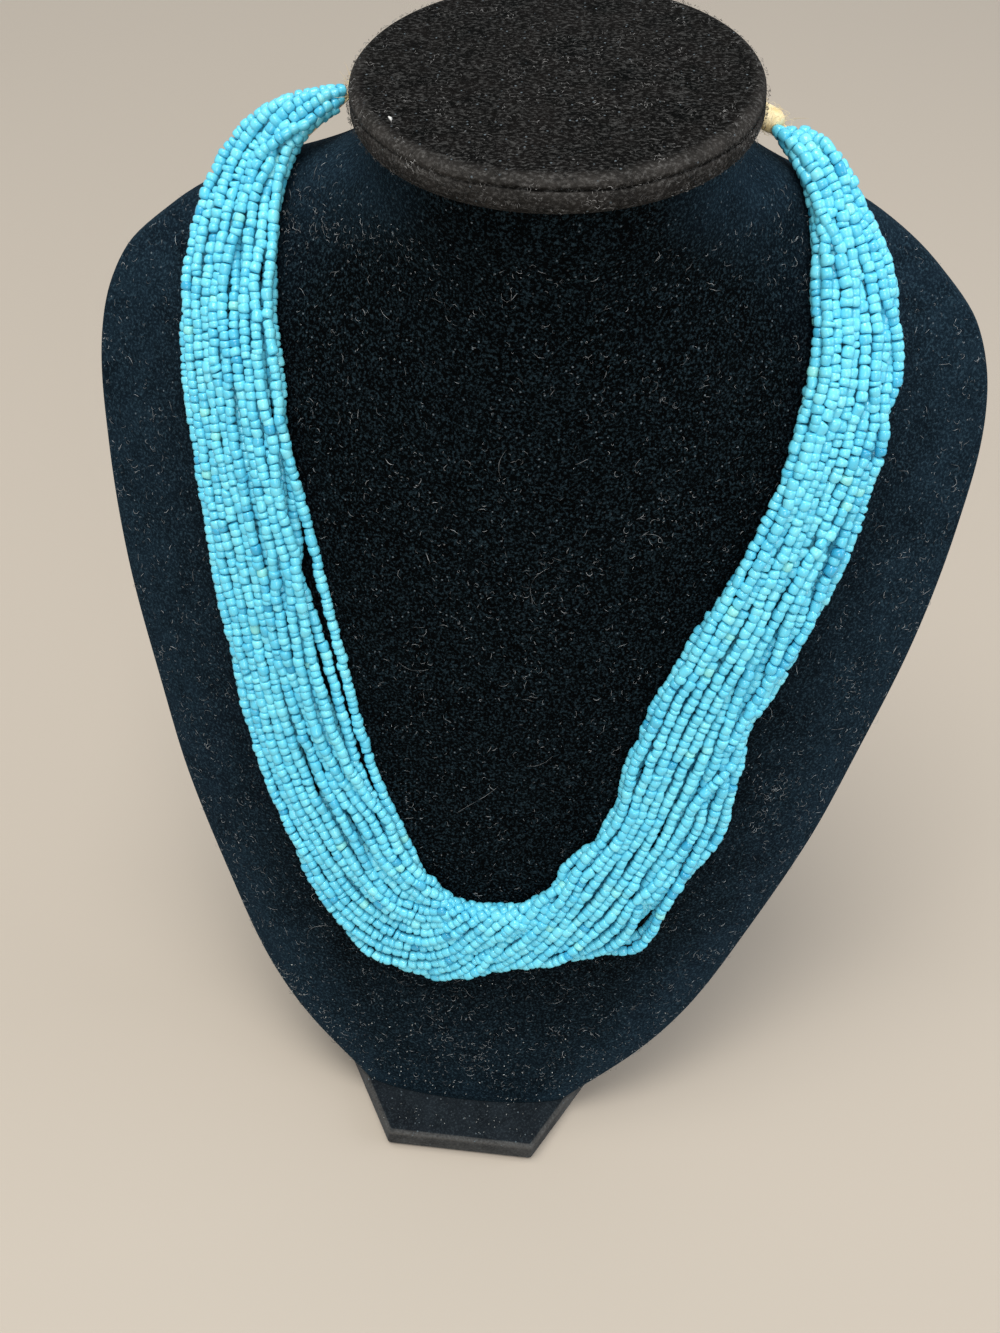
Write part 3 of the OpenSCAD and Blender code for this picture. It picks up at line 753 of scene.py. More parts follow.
def join_tubes(tubes):
    """Points and faces of several tubes, given as points and a number of sides."""
    points, quads, ends, first = [], [], [], 0
    for ring_points, sides in tubes:
        q, e = tube_faces(len(ring_points) // sides, sides, first)
        points.append(ring_points)
        quads.append(q)
        ends.append(e)
        first += len(ring_points)
    return np.concatenate(points), [np.concatenate(quads), np.concatenate(ends)]


print("A tube of 3 rings and 6 sides has", len(tube_faces(3, 6)[0]), "quads and 2 ends")

# %% Line of the cord round the neck
CORD_UP, CORD_START = 0.975, math.radians(42)


def cord_line(angle, neck_side):
    """Middle of the cord beside the neck at angles round it, moving out to the clasp's axis at the back."""
    up = np.full_like(angle, CORD_UP)
    p, q = body_point(up, angle), body_point(up, angle + math.radians(1))
    heading = unit((q - p)[:, :2])
    share = (angle - CORD_START) / (TAU / 4 - CORD_START)
    off = LAY_GAP + CORD_D / 2 + (CLASP_D - CORD_D) / 2 * share ** 2
    base, level = middle_x(CORD_UP), BODY_Z + CORD_UP * BODY_H
    x = base + neck_side * (p[:, 0] - base + heading[:, 1] * off)
    return np.stack([x, p[:, 1] - heading[:, 0] * off, level + neck_side * (p[:, 2] - level)], -1)


clasp_angle = math.acos((CLASP_L / 2 + LAY_GAP) / float(half_width(np.array(CORD_UP))))
clasp_at = cord_line(np.array([TAU / 4]), 1)[0]
print("Clasp at", np.round(clasp_at, 1), "mm")

# %% [markdown]
# Cotton sewing thread is a soft white to cream, dull all over, with a little sheen from its mercerised
# fibres and fine slanting hairs along its ply. The slant comes from the tube's own turns, and the fibres
# are a noise much finer than the thread, which is a little over 0.5 mm thick.

# %% Cotton thread and cord
STAIN_MM = 2.5


def cotton(name, dark, light, fibre_mm):
    """A dull cotton: two creams mixed by soft stains, and a bump of fibres."""
    material, shader = new_material(name)
    place = add(material, "ShaderNodeTexCoord").outputs["Object"]
    stain = add(material, "ShaderNodeTexNoise", {"Vector": place, "Scale": 1000 / STAIN_MM, "Detail": 4.0})
    fibre = add(material, "ShaderNodeTexNoise", {"Vector": place, "Scale": 1000 / fibre_mm, "Detail": 3.0})
    bump = add(material, "ShaderNodeBump",
               {"Height": fibre.outputs["Fac"], "Strength": 0.6, "Distance": 0.1 * MM})
    colour = add(material, "ShaderNodeValToRGB", {"Fac": stain.outputs["Fac"]}, [(0.3, dark), (0.7, light)])
    link(material, shader, {"Base Color": colour.outputs["Color"], "Normal": bump.outputs["Normal"],
                            "Roughness": 0.85, "Specular IOR Level": 0.2, "Sheen Weight": 0.3,
                            "Sheen Roughness": 0.5})
    return material


wrap_cotton = cotton("cream_cotton_thread_wound", "#d3b97c", "#f6e7c0", 0.25)
cord_cotton = cotton("cream_cotton_cord_twisted", "#cdb57e", "#eeddb2", 0.3)
print("Cottons:", wrap_cotton.name, "and", cord_cotton.name)

# %% [markdown]
# The wraps are cones of wound thread, wide over the strands' ends and as narrow as the cord at the other
# end. Their mouths draw in towards the beads. The cord's three plies turn once in 7 mm, as a hand twisted
# cord's do.

# %% Thread ends, wraps and cords
WRAP_SIDES, RINGS_A_TURN = 28, 6
WOUND_PITCH, RIDGE = 0.55, 0.055
OVER_CORD = 0.9
PLY_PITCH = 7.0


def wrap_tube(start, finish, setback, mouth):
    """A cone of wound thread: its radius rises and falls once for each turn of the thread round it. It
    starts a setback past the strands' ends, narrows towards them over the mouth's length, and goes over
    the cord."""
    heading = unit(finish - start)
    a, b = start + heading * setback, finish + heading * OVER_CORD
    length = float(np.linalg.norm(b - a))
    share = np.linspace(0, 1, int(length / WOUND_PITCH * RINGS_A_TURN))
    line = a + share[:, None] * (b - a)
    turns = share[:, None] * length / WOUND_PITCH + np.arange(WRAP_SIDES)[None] / WRAP_SIDES
    ridge = 1 - RIDGE * (1 - np.abs(np.sin(math.pi * turns)) ** 0.7)
    end = 1 - 0.45 * np.clip(1 - share * length / mouth, 0, 1) ** 2
    end -= 0.12 * np.clip(1 - (1 - share) * length / 0.4, 0, 1) ** 2
    radius = (WRAP_D + (CORD_D + 2 * THREAD_R - WRAP_D) * share) / 2 * end
    return tube_points(line, radius, WRAP_SIDES, ridge), WRAP_SIDES


def cord_tube(neck_side):
    """Three plies twisted: the radius swells over each ply, and the plies turn once in each pitch."""
    line = cord_line(np.linspace(CORD_START, clasp_angle, 130), neck_side)
    length = np.append(0, np.cumsum(np.linalg.norm(np.diff(line, axis=0), axis=1)))
    sides = 30
    angle = np.arange(sides)[None] / sides * TAU - length[:, None] / PLY_PITCH * TAU
    plies = 0.80 + 0.20 * np.abs(np.cos(1.5 * angle)) ** 0.6
    end = 1 - 0.3 * np.clip(1 - np.minimum(length, length[-1] - length) / 0.7, 0, 1) ** 2
    return tube_points(line, CORD_D / 2 * end, sides, plies), sides


def loose_threads(left):
    """The bare end of each strand, from its last bead into the mouth of the wrap."""
    tubes = []
    for number in range(STRANDS):
        line = resample(lines[number], 1.0)
        reach = strand_ends[number, 0] if left else along[-1] - strand_ends[number, 1]
        count = max(int(reach) + 3, 4)
        line = line[:count] if left else line[-count:]
        tubes.append((tube_points(line, np.full(len(line), THREAD_R), 6), 6))
    return tubes


for name, neck_side, row, setback, mouth in (("left", -1, 0, 1.6, 5.0), ("right", 1, -1, -0.8, 2.5)):
    start = frames[row, 1:4]
    finish = cord_line(np.array([CORD_START]), neck_side)[0]
    points, faces = join_tubes([wrap_tube(start, finish, setback, mouth)])
    add_piece("wound_thread_" + name, points, faces, wrap_cotton, ["thread_wrap_" + name])
    points, faces = join_tubes(loose_threads(neck_side < 0))
    add_piece("loose_threads_" + name, points, faces, wrap_cotton)
    points, faces = join_tubes([cord_tube(neck_side)])
    add_piece("twisted_cord_" + name, points, faces, cord_cotton, ["neck_cord_" + name])

# %% [markdown]
# The velvet is short and black, with its pile pressed in patches, so some places drink the light and
# others give back a blue-grey bloom at a glancing angle. That bloom is the shader's sheen. Along the edges
# and the rims a paler colour is painted on as well, a painted sheen, so each velvet mesh stores on its
# points how much of that painted sheen it gets. Black velvet also shows every speck of lint: the finest
# ones are pale dots in the texture, and the larger ones are real fibres, modelled further down. Tufts are
# drawn at 0.65 mm, coarser than real ones, so that they show.

# %% Black velvet
NAP_MM, TUFT_MM, PILE_MM = 9.0, 0.65, 0.45
DOT_CELL_MM, DOT_SHARE, LINTED = 1.3, 0.17, 0.3
# How strongly the painted sheen is added.
PAINTED_SHEEN_GAIN = 4.0


def velvet(name, dark, light, fleck, painted_sheen, tint, sheen, stretch):
    """Short pile velvet: a dark base in pressed patches, the pale ends of tufts all over it, a paler
    painted sheen where the mesh's attribute says so, and dots of lint. stretch is how long the tufts lie
    sideways."""
    material, shader = new_material(name)
    place = add(material, "ShaderNodeTexCoord").outputs["Object"]
    nap = add(material, "ShaderNodeTexNoise", {"Vector": place, "Scale": 1000 / NAP_MM, "Detail": 5.0,
                                               "Roughness": 0.62, "Distortion": 0.4})
    base = add(material, "ShaderNodeValToRGB", {"Fac": nap.outputs["Fac"]}, [(0.30, dark), (0.72, light)])
    brushed = add(material, "ShaderNodeMapping", {"Vector": place, "Scale": (1 / stretch, 1.0, 1.0)})
    tuft = add(material, "ShaderNodeTexNoise", {"Vector": brushed.outputs["Vector"],
                                                "Scale": 1000 / TUFT_MM, "Detail": 4.0, "Roughness": 0.7})
    grain = add(material, "ShaderNodeValToRGB", {"Fac": tuft.outputs["Fac"]},
                [(0.50, "#000000"), (0.72, fleck)])
    shaded = add(material, "ShaderNodeMix",
                 {"Factor": 1.0, "A": base.outputs["Color"], "B": grain.outputs["Color"]},
                 data_type="RGBA", blend_type="ADD")
    # Painted sheen: a paler colour, added in broken patches where the mesh's attribute asks for it.
    wear_and_sheen = add(material, "ShaderNodeAttribute", attribute_name="painted_sheen")
    uneven = add(material, "ShaderNodeMath", {0: tuft.outputs["Fac"], 1: nap.outputs["Fac"]},
                 operation="MULTIPLY")
    sheen_in_patches = add(material, "ShaderNodeMath", {0: wear_and_sheen.outputs["Fac"], 1: uneven.outputs["Value"]},
               operation="MULTIPLY")
    sheen_strength = add(material, "ShaderNodeMath", {0: sheen_in_patches.outputs["Value"], 1: PAINTED_SHEEN_GAIN}, operation="MULTIPLY")
    with_painted_sheen = add(material, "ShaderNodeMix",
                 {"Factor": sheen_strength.outputs["Value"], "A": shaded.outputs["Result"], "B": linear(painted_sheen)},
                 data_type="RGBA", blend_type="ADD")
    dots = add(material, "ShaderNodeTexVoronoi", {"Vector": place, "Scale": 1000 / DOT_CELL_MM},
               feature="F1")
    near = add(material, "ShaderNodeMath", {0: dots.outputs["Distance"], 1: DOT_SHARE},
               operation="LESS_THAN")
    dice = add(material, "ShaderNodeSeparateColor", {"Color": dots.outputs["Color"]})
    few = add(material, "ShaderNodeMath", {0: dice.outputs["Red"], 1: 1 - LINTED},
              operation="GREATER_THAN")
    lint = add(material, "ShaderNodeMath", {0: near.outputs["Value"], 1: few.outputs["Value"]},
               operation="MULTIPLY")
    pale = add(material, "ShaderNodeMath", {0: lint.outputs["Value"], 1: dice.outputs["Green"]},
               operation="MULTIPLY")
    spotted = add(material, "ShaderNodeMix",
                  {"Factor": pale.outputs["Value"], "A": with_painted_sheen.outputs["Result"], "B": linear("#5c666c")},
                  data_type="RGBA")
    pile = add(material, "ShaderNodeTexNoise", {"Vector": place, "Scale": 1000 / PILE_MM, "Detail": 2.0})
    bump = add(material, "ShaderNodeBump",
               {"Height": pile.outputs["Fac"], "Strength": 0.7, "Distance": 0.35 * MM})
    link(material, shader, {"Base Color": spotted.outputs["Result"], "Normal": bump.outputs["Normal"],
                            "Roughness": 0.95, "Specular IOR Level": 0.03, "Sheen Weight": sheen,
                            "Sheen Roughness": 0.35, "Sheen Tint": linear(tint)})
    return material


# The colour after the fleck is each velvet's painted sheen colour, for its edges and rims.
body_velvet = velvet("black_velvet_short_pile", "#000000", "#020405", fleck="#27373f", painted_sheen="#121f29",
                     tint="#7fb0cc", sheen=0.06, stretch=1.0)
cap_velvet = velvet("black_velvet_brushed_cap", "#000101", "#100e0d", fleck="#434342", painted_sheen="#33312f",
                    tint="#b4b2ae", sheen=0.045, stretch=1.5)
plate_velvet = velvet("black_velvet_glued_board", "#12161a", "#20262b", fleck="#262c2f", painted_sheen="#45423e",
                      tint="#a4aab0", sheen=0.16, stretch=1.0)
print("Velvets:", len(body_velvet.node_tree.nodes), "nodes each")

# %% [markdown]
# The body is one closed surface: rings of the section from the foot to the neck, closed at both ends. The
# rings stand 1.6 mm apart, which is close enough for the sharp turn from the shoulders into the neck.

# %% The padded body
BODY_SIDES, BODY_RINGS = 176, 168


def closed_loft(rings):
    """Points and faces of rings, anticlockwise seen from the last one, closed by a point at each end."""
    rows, sides = rings.shape[:2]
    points = np.concatenate([rings.reshape(-1, 3), rings[:1].mean(1), rings[-1:].mean(1)])
    a = np.arange(sides)
    b, top = (a + 1) % sides, (rows - 1) * sides
    first = np.stack([b, a, np.full(sides, rows * sides)], -1)
    last = np.stack([a + top, b + top, np.full(sides, rows * sides + 1)], -1)
    return points, [grid_faces(rows, sides), np.concatenate([first, last])]


ups, round_body = np.meshgrid(np.linspace(0, 1, BODY_RINGS), np.arange(BODY_SIDES) / BODY_SIDES * TAU,
                              indexing="ij")
# Painted sheen on the body: a paler colour along its sides, where the surface turns away towards the rim,
# and low down towards the foot.
near_edge = np.clip((np.abs(np.cos(round_body)) - 0.55) / 0.4, 0, 1)
near_foot = np.clip(1 - ups / 0.25, 0, 1)
painted_sheen = 0.9 * near_edge + 0.6 * near_foot
points, faces = closed_loft(body_point(ups, round_body))
add_piece("velvet_body", points, faces, body_velvet, ["bust_form"],
          {"painted_sheen": np.append(painted_sheen.ravel(), [0, 0])})

# %% [markdown]
# The cap is a padded disc covered in the same velvet, with the seam of its side strip a little under the
# upper edge. A turned profile gives it, with the corners rolled soft, and the whole of it follows the
# neck's slope. The seam was sewn by hand, so it wavers a little. Its rim gets a painted sheen in front,
# and the seam's groove a painted shade line, darkest at the right.

# %% Profile of the cap
CAP_SIDES = 160


def turned(profile, sides):
    """Rings of a profile of radius and height, turned round the upright axis."""
    a = np.arange(sides) / sides * TAU
    r, z = profile[:, :1], profile[:, 1:]
    return np.stack([r * np.cos(a), r * np.sin(a), z + 0 * a[None]], -1)


def cap_profile():
    """Half outline of the cap from the middle of its underside, round its edge, to its top's middle."""
    r = CAP_D / 2
    corner = r - CAP_ROUND
    low, high = np.radians(np.linspace(-90, 0, 12)), np.radians(np.linspace(0, 90, 14))
    seam = np.radians(np.linspace(-90, -270, 9))
    under = np.stack([np.linspace(0.5, corner, 30)[:-1], np.zeros(29)], -1)
    edge = np.stack([corner + CAP_ROUND * np.cos(low), CAP_ROUND + CAP_ROUND * np.sin(low)], -1)
    wall = np.array([[r, CAP_ROUND + 1.2]])
    groove = np.stack([r + SEAM_R * np.cos(seam), SEAM_Z - 0.05 + SEAM_R * np.sin(seam)], -1)
    shoulder = np.stack([corner + CAP_ROUND * np.cos(high), SEAM_Z + CAP_ROUND * np.sin(high)], -1)
    top = np.stack([np.linspace(corner, 0.5, 50)[1:], np.full(49, CAP_T)], -1)
    return np.concatenate([under, edge, wall, groove, shoulder[3:], top])


def leant(v):
    """Vectors of the cap's own upright frame, turned sideways by the slope of the neck's top."""
    c, s = math.cos(TOP_TILT), math.sin(TOP_TILT)
    return np.stack([c * v[..., 0] - s * v[..., 2], v[..., 1], s * v[..., 0] + c * v[..., 2]], -1)


SEAM_Z = CAP_T - CAP_ROUND
CAP_AT = np.array([middle_x(1), NECK_Y, TOP_Z + LAY_GAP / math.cos(TOP_TILT)])
profile = cap_profile()
print("Cap at", np.round(CAP_AT, 2), "mm,", len(profile), "points in its profile")

# %% The neck cap
a = np.arange(CAP_SIDES) / CAP_SIDES * TAU
across_cap, level = profile[:, :1], profile[:, 1:]
# Painted sheen on the front of the cap's rounded rim. Along the seam's groove it is held back, which paints
# a shade line, most at the right.
near_rim = np.clip((across_cap - CAP_D / 2 + 3.2) / 2.6, 0, 1) * np.clip(level / CAP_T + 0.1, 0, 1)
in_front = np.clip(0.45 - 0.65 * np.sin(a), 0.1, 1)
seam_sheen = np.clip(0.45 - 0.6 * np.cos(a) + 0.25 * np.sin(5 * a), 0.15, 1)
painted_sheen = near_rim * in_front * np.where(np.abs(level - SEAM_Z) < SEAM_R, seam_sheen, 1)
at_seam = np.exp(-((level - SEAM_Z) / 1.4) ** 2) * (across_cap > CAP_D / 2 - CAP_ROUND)
rings = turned(profile, CAP_SIDES)
rings[..., 2] += at_seam * (0.28 * np.sin(3 * a + 0.6) + 0.16 * np.sin(8 * a + 2) + 0.08 * np.sin(17 * a))
rings[..., :2] *= 1 - (at_seam * (0.003 + 0.003 * np.sin(5 * a + 1)))[..., None]
points, faces = closed_loft(leant(rings) + CAP_AT)
add_piece("velvet_cap", points, faces, cap_velvet, ["neck_cap"],
          {"painted_sheen": np.append(painted_sheen.ravel(), [0, 0])})

# %% [markdown]
# The base is a flat board with its corners cut off, wrapped in velvet that rounds every edge. The outline
# is a polygon whose corners and edges are both rounded here by the same small radius.

# %% The base plate
PLATE_ROUND = 1.3


def rounded_outline(corners, radius, steps=5):
    """A polygon's outline moved in by a radius, and the outward ways of an arc at each of its corners."""
    before, after = np.roll(corners, 1, 0), np.roll(corners, -1, 0)
    way_in, way_out = unit(corners - before), unit(after - corners)
    normal_in = np.stack([way_in[:, 1], -way_in[:, 0]], -1)
    normal_out = np.stack([way_out[:, 1], -way_out[:, 0]], -1)
    middle_way = normal_in + normal_out
    inner = corners - radius * middle_way / (1 + (normal_in * normal_out).sum(-1, keepdims=True))
    share = np.linspace(0, 1, steps)[None, :, None]
    normals = unit(normal_in[:, None] * (1 - share) + normal_out[:, None] * share)
    return np.repeat(inner, steps, 0), normals.reshape(-1, 2)


side_y = PLATE_FRONT_Y + (PLATE_W - PLATE_FRONT_W) / 2 * math.sqrt(3)
back_y = PLATE_FRONT_Y + PLATE_L
half = np.array([[PLATE_FRONT_W / 2, PLATE_FRONT_Y], [PLATE_W / 2, side_y],
                 [PLATE_W / 2, back_y - (side_y - PLATE_FRONT_Y)], [PLATE_FRONT_W / 2, back_y]])
corners = np.concatenate([half, half[::-1] * [-1, 1]])
inner, normals = rounded_outline(corners, PLATE_ROUND)
quarter = np.radians(np.linspace(-90, 0, 7))
wall = np.linspace(PLATE_ROUND, PLATE_T - PLATE_ROUND, 8)[1:-1]
swell = np.concatenate([np.cos(quarter), np.ones(len(wall)), np.cos(quarter[::-1])]) * PLATE_ROUND
level = np.concatenate([PLATE_ROUND + PLATE_ROUND * np.sin(quarter), wall,
                        PLATE_T - PLATE_ROUND - PLATE_ROUND * np.sin(quarter[::-1])])
rings = np.concatenate([inner[None] + normals[None] * swell[:, None, None],
                        level[:, None, None] + np.zeros((1, len(inner), 1))], -1)
rings[..., 0] += middle_x(0)
points, faces = closed_loft(rings)
# Painted light on the board: a paler colour on its walls and a painted highlight along its top edge; the
# flat top gets none.
painted_sheen = 0.6 + 0.55 * np.exp(-((level - PLATE_T + 0.8) / 0.5) ** 2)
painted_sheen[-1] = 0
add_piece("velvet_plate", points, faces, plate_velvet, ["base_plate"],
          {"painted_sheen": np.append(np.repeat(painted_sheen, len(inner)), [0, 0])})

# %% [markdown]
# The clasp is a plain screw barrel behind the neck, where the picture doesn't show it. It is yellow
# metal, turned on a lathe and lacquered, with a bead rolled at each shoulder and shallow ridges round
# each half for the fingers.

# %% The clasp
BARREL_SHARE, COLLAR_SHARE, CLASP_SIDES, KNURL_RIDGES = 0.6, 0.72, 64, 5
WEAR_MM = 1.8
brass, shader = new_material("yellow_brass_turned_lacquered")
place = add(brass, "ShaderNodeTexCoord").outputs["Object"]
wear_and_sheen = add(brass, "ShaderNodeTexNoise", {"Vector": place, "Scale": 1000 / WEAR_MM, "Detail": 4.0})
colour = add(brass, "ShaderNodeValToRGB", {"Fac": wear_and_sheen.outputs["Fac"]},
             [(0.35, "#b88f45"), (0.7, "#d9b874")])
rough = add(brass, "ShaderNodeMapRange", {"Value": wear_and_sheen.outputs["Fac"], "To Min": 0.22, "To Max": 0.38})
link(brass, shader, {"Base Color": colour.outputs["Color"], "Metallic": 1.0,
                     "Roughness": rough.outputs["Result"]})


def clasp_profile():
    """Half outline of the barrel along its axis: a collar, a rolled bead, the barrel, and the same back."""
    r, collar = CLASP_D / 2, CLASP_D / 2 * COLLAR_SHARE
    half_l, half_b = CLASP_L / 2, CLASP_L / 2 * BARREL_SHARE
    knurl = np.linspace(0, 1, 41)
    ridges = r - 0.12 - 0.10 * np.cos(knurl * TAU * KNURL_RIDGES)
    barrel = np.stack([ridges, -half_b + 0.7 + knurl * (half_b - 0.9)], -1)
    rim = np.array([[0.3, -half_l], [collar - 0.5, -half_l], [collar - 0.15, -half_l + 0.12],
                    [collar, -half_l + 0.5], [collar, -half_b - 0.25], [collar + 0.1, -half_b - 0.05],
                    [r - 0.25, -half_b], [r - 0.05, -half_b + 0.2], [r - 0.05, -half_b + 0.5]])
    line = np.array([[r - 0.2, -0.15], [r - 0.35, -0.08], [r - 0.35, 0.0]])
    one = np.concatenate([rim, barrel, line])
    return np.concatenate([one, one[:-1][::-1] * [1, -1]])


rings = turned(clasp_profile(), CLASP_SIDES)
rings = np.stack([rings[..., 2], rings[..., 1], -rings[..., 0]], -1) + clasp_at
points, faces = closed_loft(rings)
add_piece("barrel_clasp", points, faces, brass, ["clasp"])

# %% [markdown]
# Lint is short pale fibre that clings to the pile. Each piece is a hair thin tube with a random curl,
# standing a little off the velvet. They are drawn about 0.1 mm thick, a few times thicker than real ones,
# because finer ones would vanish between the pixels. Dust, nap, long hairs and fluff are made by the same
# function, from other lengths, thicknesses and curls.

# %% Hairs of any kind
def add_hairs(name, material, places, length, thick, curl, steps):
    """Adds a piece of three sided tubes, each along a random way in the surface that turns a little at
    every step. places holds their roots and the surface's outward ways there."""
    roots, normals = places
    n = len(roots)
    heading = square_to(rng.normal(0, 1, (n, 3)), normals)
    turning = rng.normal(0, 1, (n, 1)) * curl + rng.normal(0, 0.5, (n, steps)) * curl
    angle = np.cumsum(turning, 1) / steps
    sideways = np.cross(normals, heading)
    step = np.cos(angle)[..., None] * heading[:, None] + np.sin(angle)[..., None] * sideways[:, None]
    rise = np.sin(np.linspace(0.4, math.pi - 0.4, steps))[None, :, None] * rng.uniform(0.1, 0.6, (n, 1, 1))
    line = roots[:, None] + np.cumsum(step, 1) * (length / steps)[:, None, None]
    line += normals[:, None] * (OFF_PILE + rise)
    taper = np.sin(np.linspace(0.35, math.pi - 0.35, steps))[None, :] * thick[:, None] / 2
    a = np.arange(3)[:, None] / 3 * TAU
    ring = np.cos(a) * np.cross(normals[:, None], step)[:, :, None] + np.sin(a) * normals[:, None, None]
    points = (line[:, :, None] + taper[..., None, None] * ring).reshape(-1, 3)
    shift = (np.arange(n) * steps * 3)[:, None, None]
    quads, ends = tube_faces(steps, 3)
    add_piece(name, points, [(quads + shift).reshape(-1, 4), (ends + shift).reshape(-1, 3)], material)


def fluffy(name, patch_mm, stops, roughness, gloss, detail=2.0):
    """A dull material for fibres and specks, whose colour changes softly from one to the next."""
    material, shader = new_material(name)
    place = add(material, "ShaderNodeTexCoord").outputs["Object"]
    shade = add(material, "ShaderNodeTexNoise",
                {"Vector": place, "Scale": 1000 / patch_mm, "Detail": detail})
    colour = add(material, "ShaderNodeValToRGB", {"Fac": shade.outputs["Fac"]}, stops)
    link(material, shader, {"Base Color": colour.outputs["Color"], "Roughness": roughness,
                            "Specular IOR Level": gloss})
    return material


OFF_PILE = 0.08
lint_fibre = fluffy("pale_cotton_lint", 3.0, [(0.35, "#2b3033"), (0.65, "#a6aaac")], 0.9, 0.2)
print("Hairs stand", OFF_PILE, "mm off the pile or more")

# %% [markdown]
# Lint doesn't fall evenly. Two thirds of it are spread over the whole front, and the rest lies in
# clusters, at random and where dust gathers: under the cap, at the foot and by the right edge. Each dusty
# place is a share of the height and an angle round the body, and each cluster is a normal cloud.

# %% Lint on the chest and the back
def face_at(up, turned_by):
    """The body's points at shares of its height and angles round it, with their outward ways."""
    p = body_point(up, turned_by)
    right_of, above = body_point(up, turned_by + 2 * SMALL), body_point(up + SMALL, turned_by)
    return p, unit(np.cross(right_of - p, above - p))


def scatter(count, low, high, first, last):
    """Random places on the body between two shares of its height and two angles, with outward ways."""
    up = rng.uniform(low, high, count)
    return face_at(up, rng.uniform(first, last, count))


DUSTY = np.array([[0.905, 3.75], [0.890, 3.90], [0.875, 3.70], [0.915, 4.05], [0.905, 5.70], [0.885, 5.55],
                  [0.10, 4.60], [0.07, 4.75], [0.15, 4.50], [0.40, 5.60], [0.52, 5.75]])
LINT_COUNT, CLUSTERED, CLUSTERS, CLUSTER_MM = 4500, 1500, 70, 5.0
BACK_LINT = 900


def clustered(count, clusters, reach_mm):
    """Places on the front in clusters, at random and where the velvet is dusty, with their outward ways."""
    up = np.append(rng.uniform(0.05, 0.93, clusters), np.repeat(DUSTY[:, 0], 4))
    turned_by = np.append(rng.uniform(math.pi + 0.4, TAU - 0.4, clusters), np.repeat(DUSTY[:, 1], 4))
    pick = rng.integers(0, len(up), count)
    up = np.clip(up[pick] + rng.normal(0, reach_mm / BODY_H, count), 0.01, 0.95)
    turned_by = turned_by[pick] + rng.normal(0, reach_mm / half_width(up))
    return face_at(up, np.clip(turned_by, math.pi + 0.12, TAU - 0.12))


spread_out = scatter(LINT_COUNT - CLUSTERED, 0.02, 0.95, math.pi + 0.15, TAU - 0.15)
in_clusters = clustered(CLUSTERED, CLUSTERS, CLUSTER_MM)
places = [np.concatenate(pair) for pair in zip(spread_out, in_clusters)]
add_hairs("lint_on_chest", lint_fibre, places,
          rng.gamma(2.2, 0.60, LINT_COUNT) + 0.35, rng.uniform(0.06, 0.13, LINT_COUNT), 3.6, 5)
places = scatter(BACK_LINT, 0.05, 0.95, 0.1, math.pi - 0.1)
add_hairs("lint_on_back", lint_fibre, places,
          rng.gamma(2.0, 0.35, BACK_LINT) + 0.25, rng.uniform(0.08, 0.16, BACK_LINT), 1.6, 5)

# %% [markdown]
# Dust gathers low down, where the foot stands on the board: pale specks hardly longer than they are
# thick.

# %% Specks of dust on the foot and the board
DUST_COUNT, BOARD_DUST = 170, 60
pale_dust = fluffy("pale_dust_speck", 4.0, [(0.35, "#4a4c4a"), (0.65, "#c3c6c2")], 0.85, 0.5)
up = np.clip(np.abs(rng.normal(0.03, 0.07, DUST_COUNT)), 0.006, 0.25)
turned_by = np.clip(rng.normal(1.47 * math.pi, 0.75, DUST_COUNT), math.pi + 0.2, TAU - 0.2)
add_hairs("dust_on_foot", pale_dust, face_at(up, turned_by),
          rng.uniform(0.25, 0.8, DUST_COUNT), rng.uniform(0.18, 0.38, DUST_COUNT), 0.8, 4)
x = rng.uniform(-24, 24, BOARD_DUST) + middle_x(0)
board = np.stack([x, rng.uniform(PLATE_FRONT_Y + 2, FOOT_Y + 6, BOARD_DUST), np.full_like(x, PLATE_T)], -1)
straight_up = np.tile([0.0, 0.0, 1.0], (BOARD_DUST, 1))
add_hairs("dust_on_board", pale_dust, (board, straight_up),
          rng.uniform(0.25, 0.8, BOARD_DUST), rng.uniform(0.15, 0.3, BOARD_DUST), 0.8, 4)

# %% [markdown]
# The cap's pile is brushed, so its short fibres lie sideways, grey in some patches and dark in others. It
# has caught one white fleck near its left edge, which is a thicker, stiffer fibre of the same kind.

# %% Nap and fleck of the cap
CAP_FIBRES, WALL_FIBRES = 2600, 700
FLECK_AT = [[-31.0, -21.5, CAP_T]]


def cap_places(count):
    """Random places on the cap's top and on its rounded edge, with their outward ways."""
    rim, inner = CAP_D / 2, CAP_D / 2 - CAP_ROUND
    r = rim * np.sqrt(rng.uniform(0, 1.12, count))
    r = np.where(r > rim, rim - rng.uniform(0, 0.8, count) * CAP_ROUND, r)
    a = rng.uniform(0, TAU, count)
    lean = np.arcsin(np.clip((r - inner) / CAP_ROUND, 0, 1))
    spot = np.stack([r * np.cos(a), r * np.sin(a), CAP_T - CAP_ROUND * (1 - np.cos(lean))], -1)
    normal = np.stack([np.sin(lean) * np.cos(a), np.sin(lean) * np.sin(a), np.cos(lean)], -1)
    return leant(spot) + CAP_AT, leant(normal)


def cap_wall_places(count):
    """Random places on the front of the cap's wall, with their outward ways."""
    a = rng.uniform(math.pi, TAU, count)
    z = rng.uniform(CAP_ROUND * 0.6, CAP_T - CAP_ROUND * 0.7, count)
    normal = np.stack([np.cos(a), np.sin(a), np.zeros(count)], -1)
    return leant(normal * CAP_D / 2 + z[:, None] * [0, 0, 1]) + CAP_AT, leant(normal)


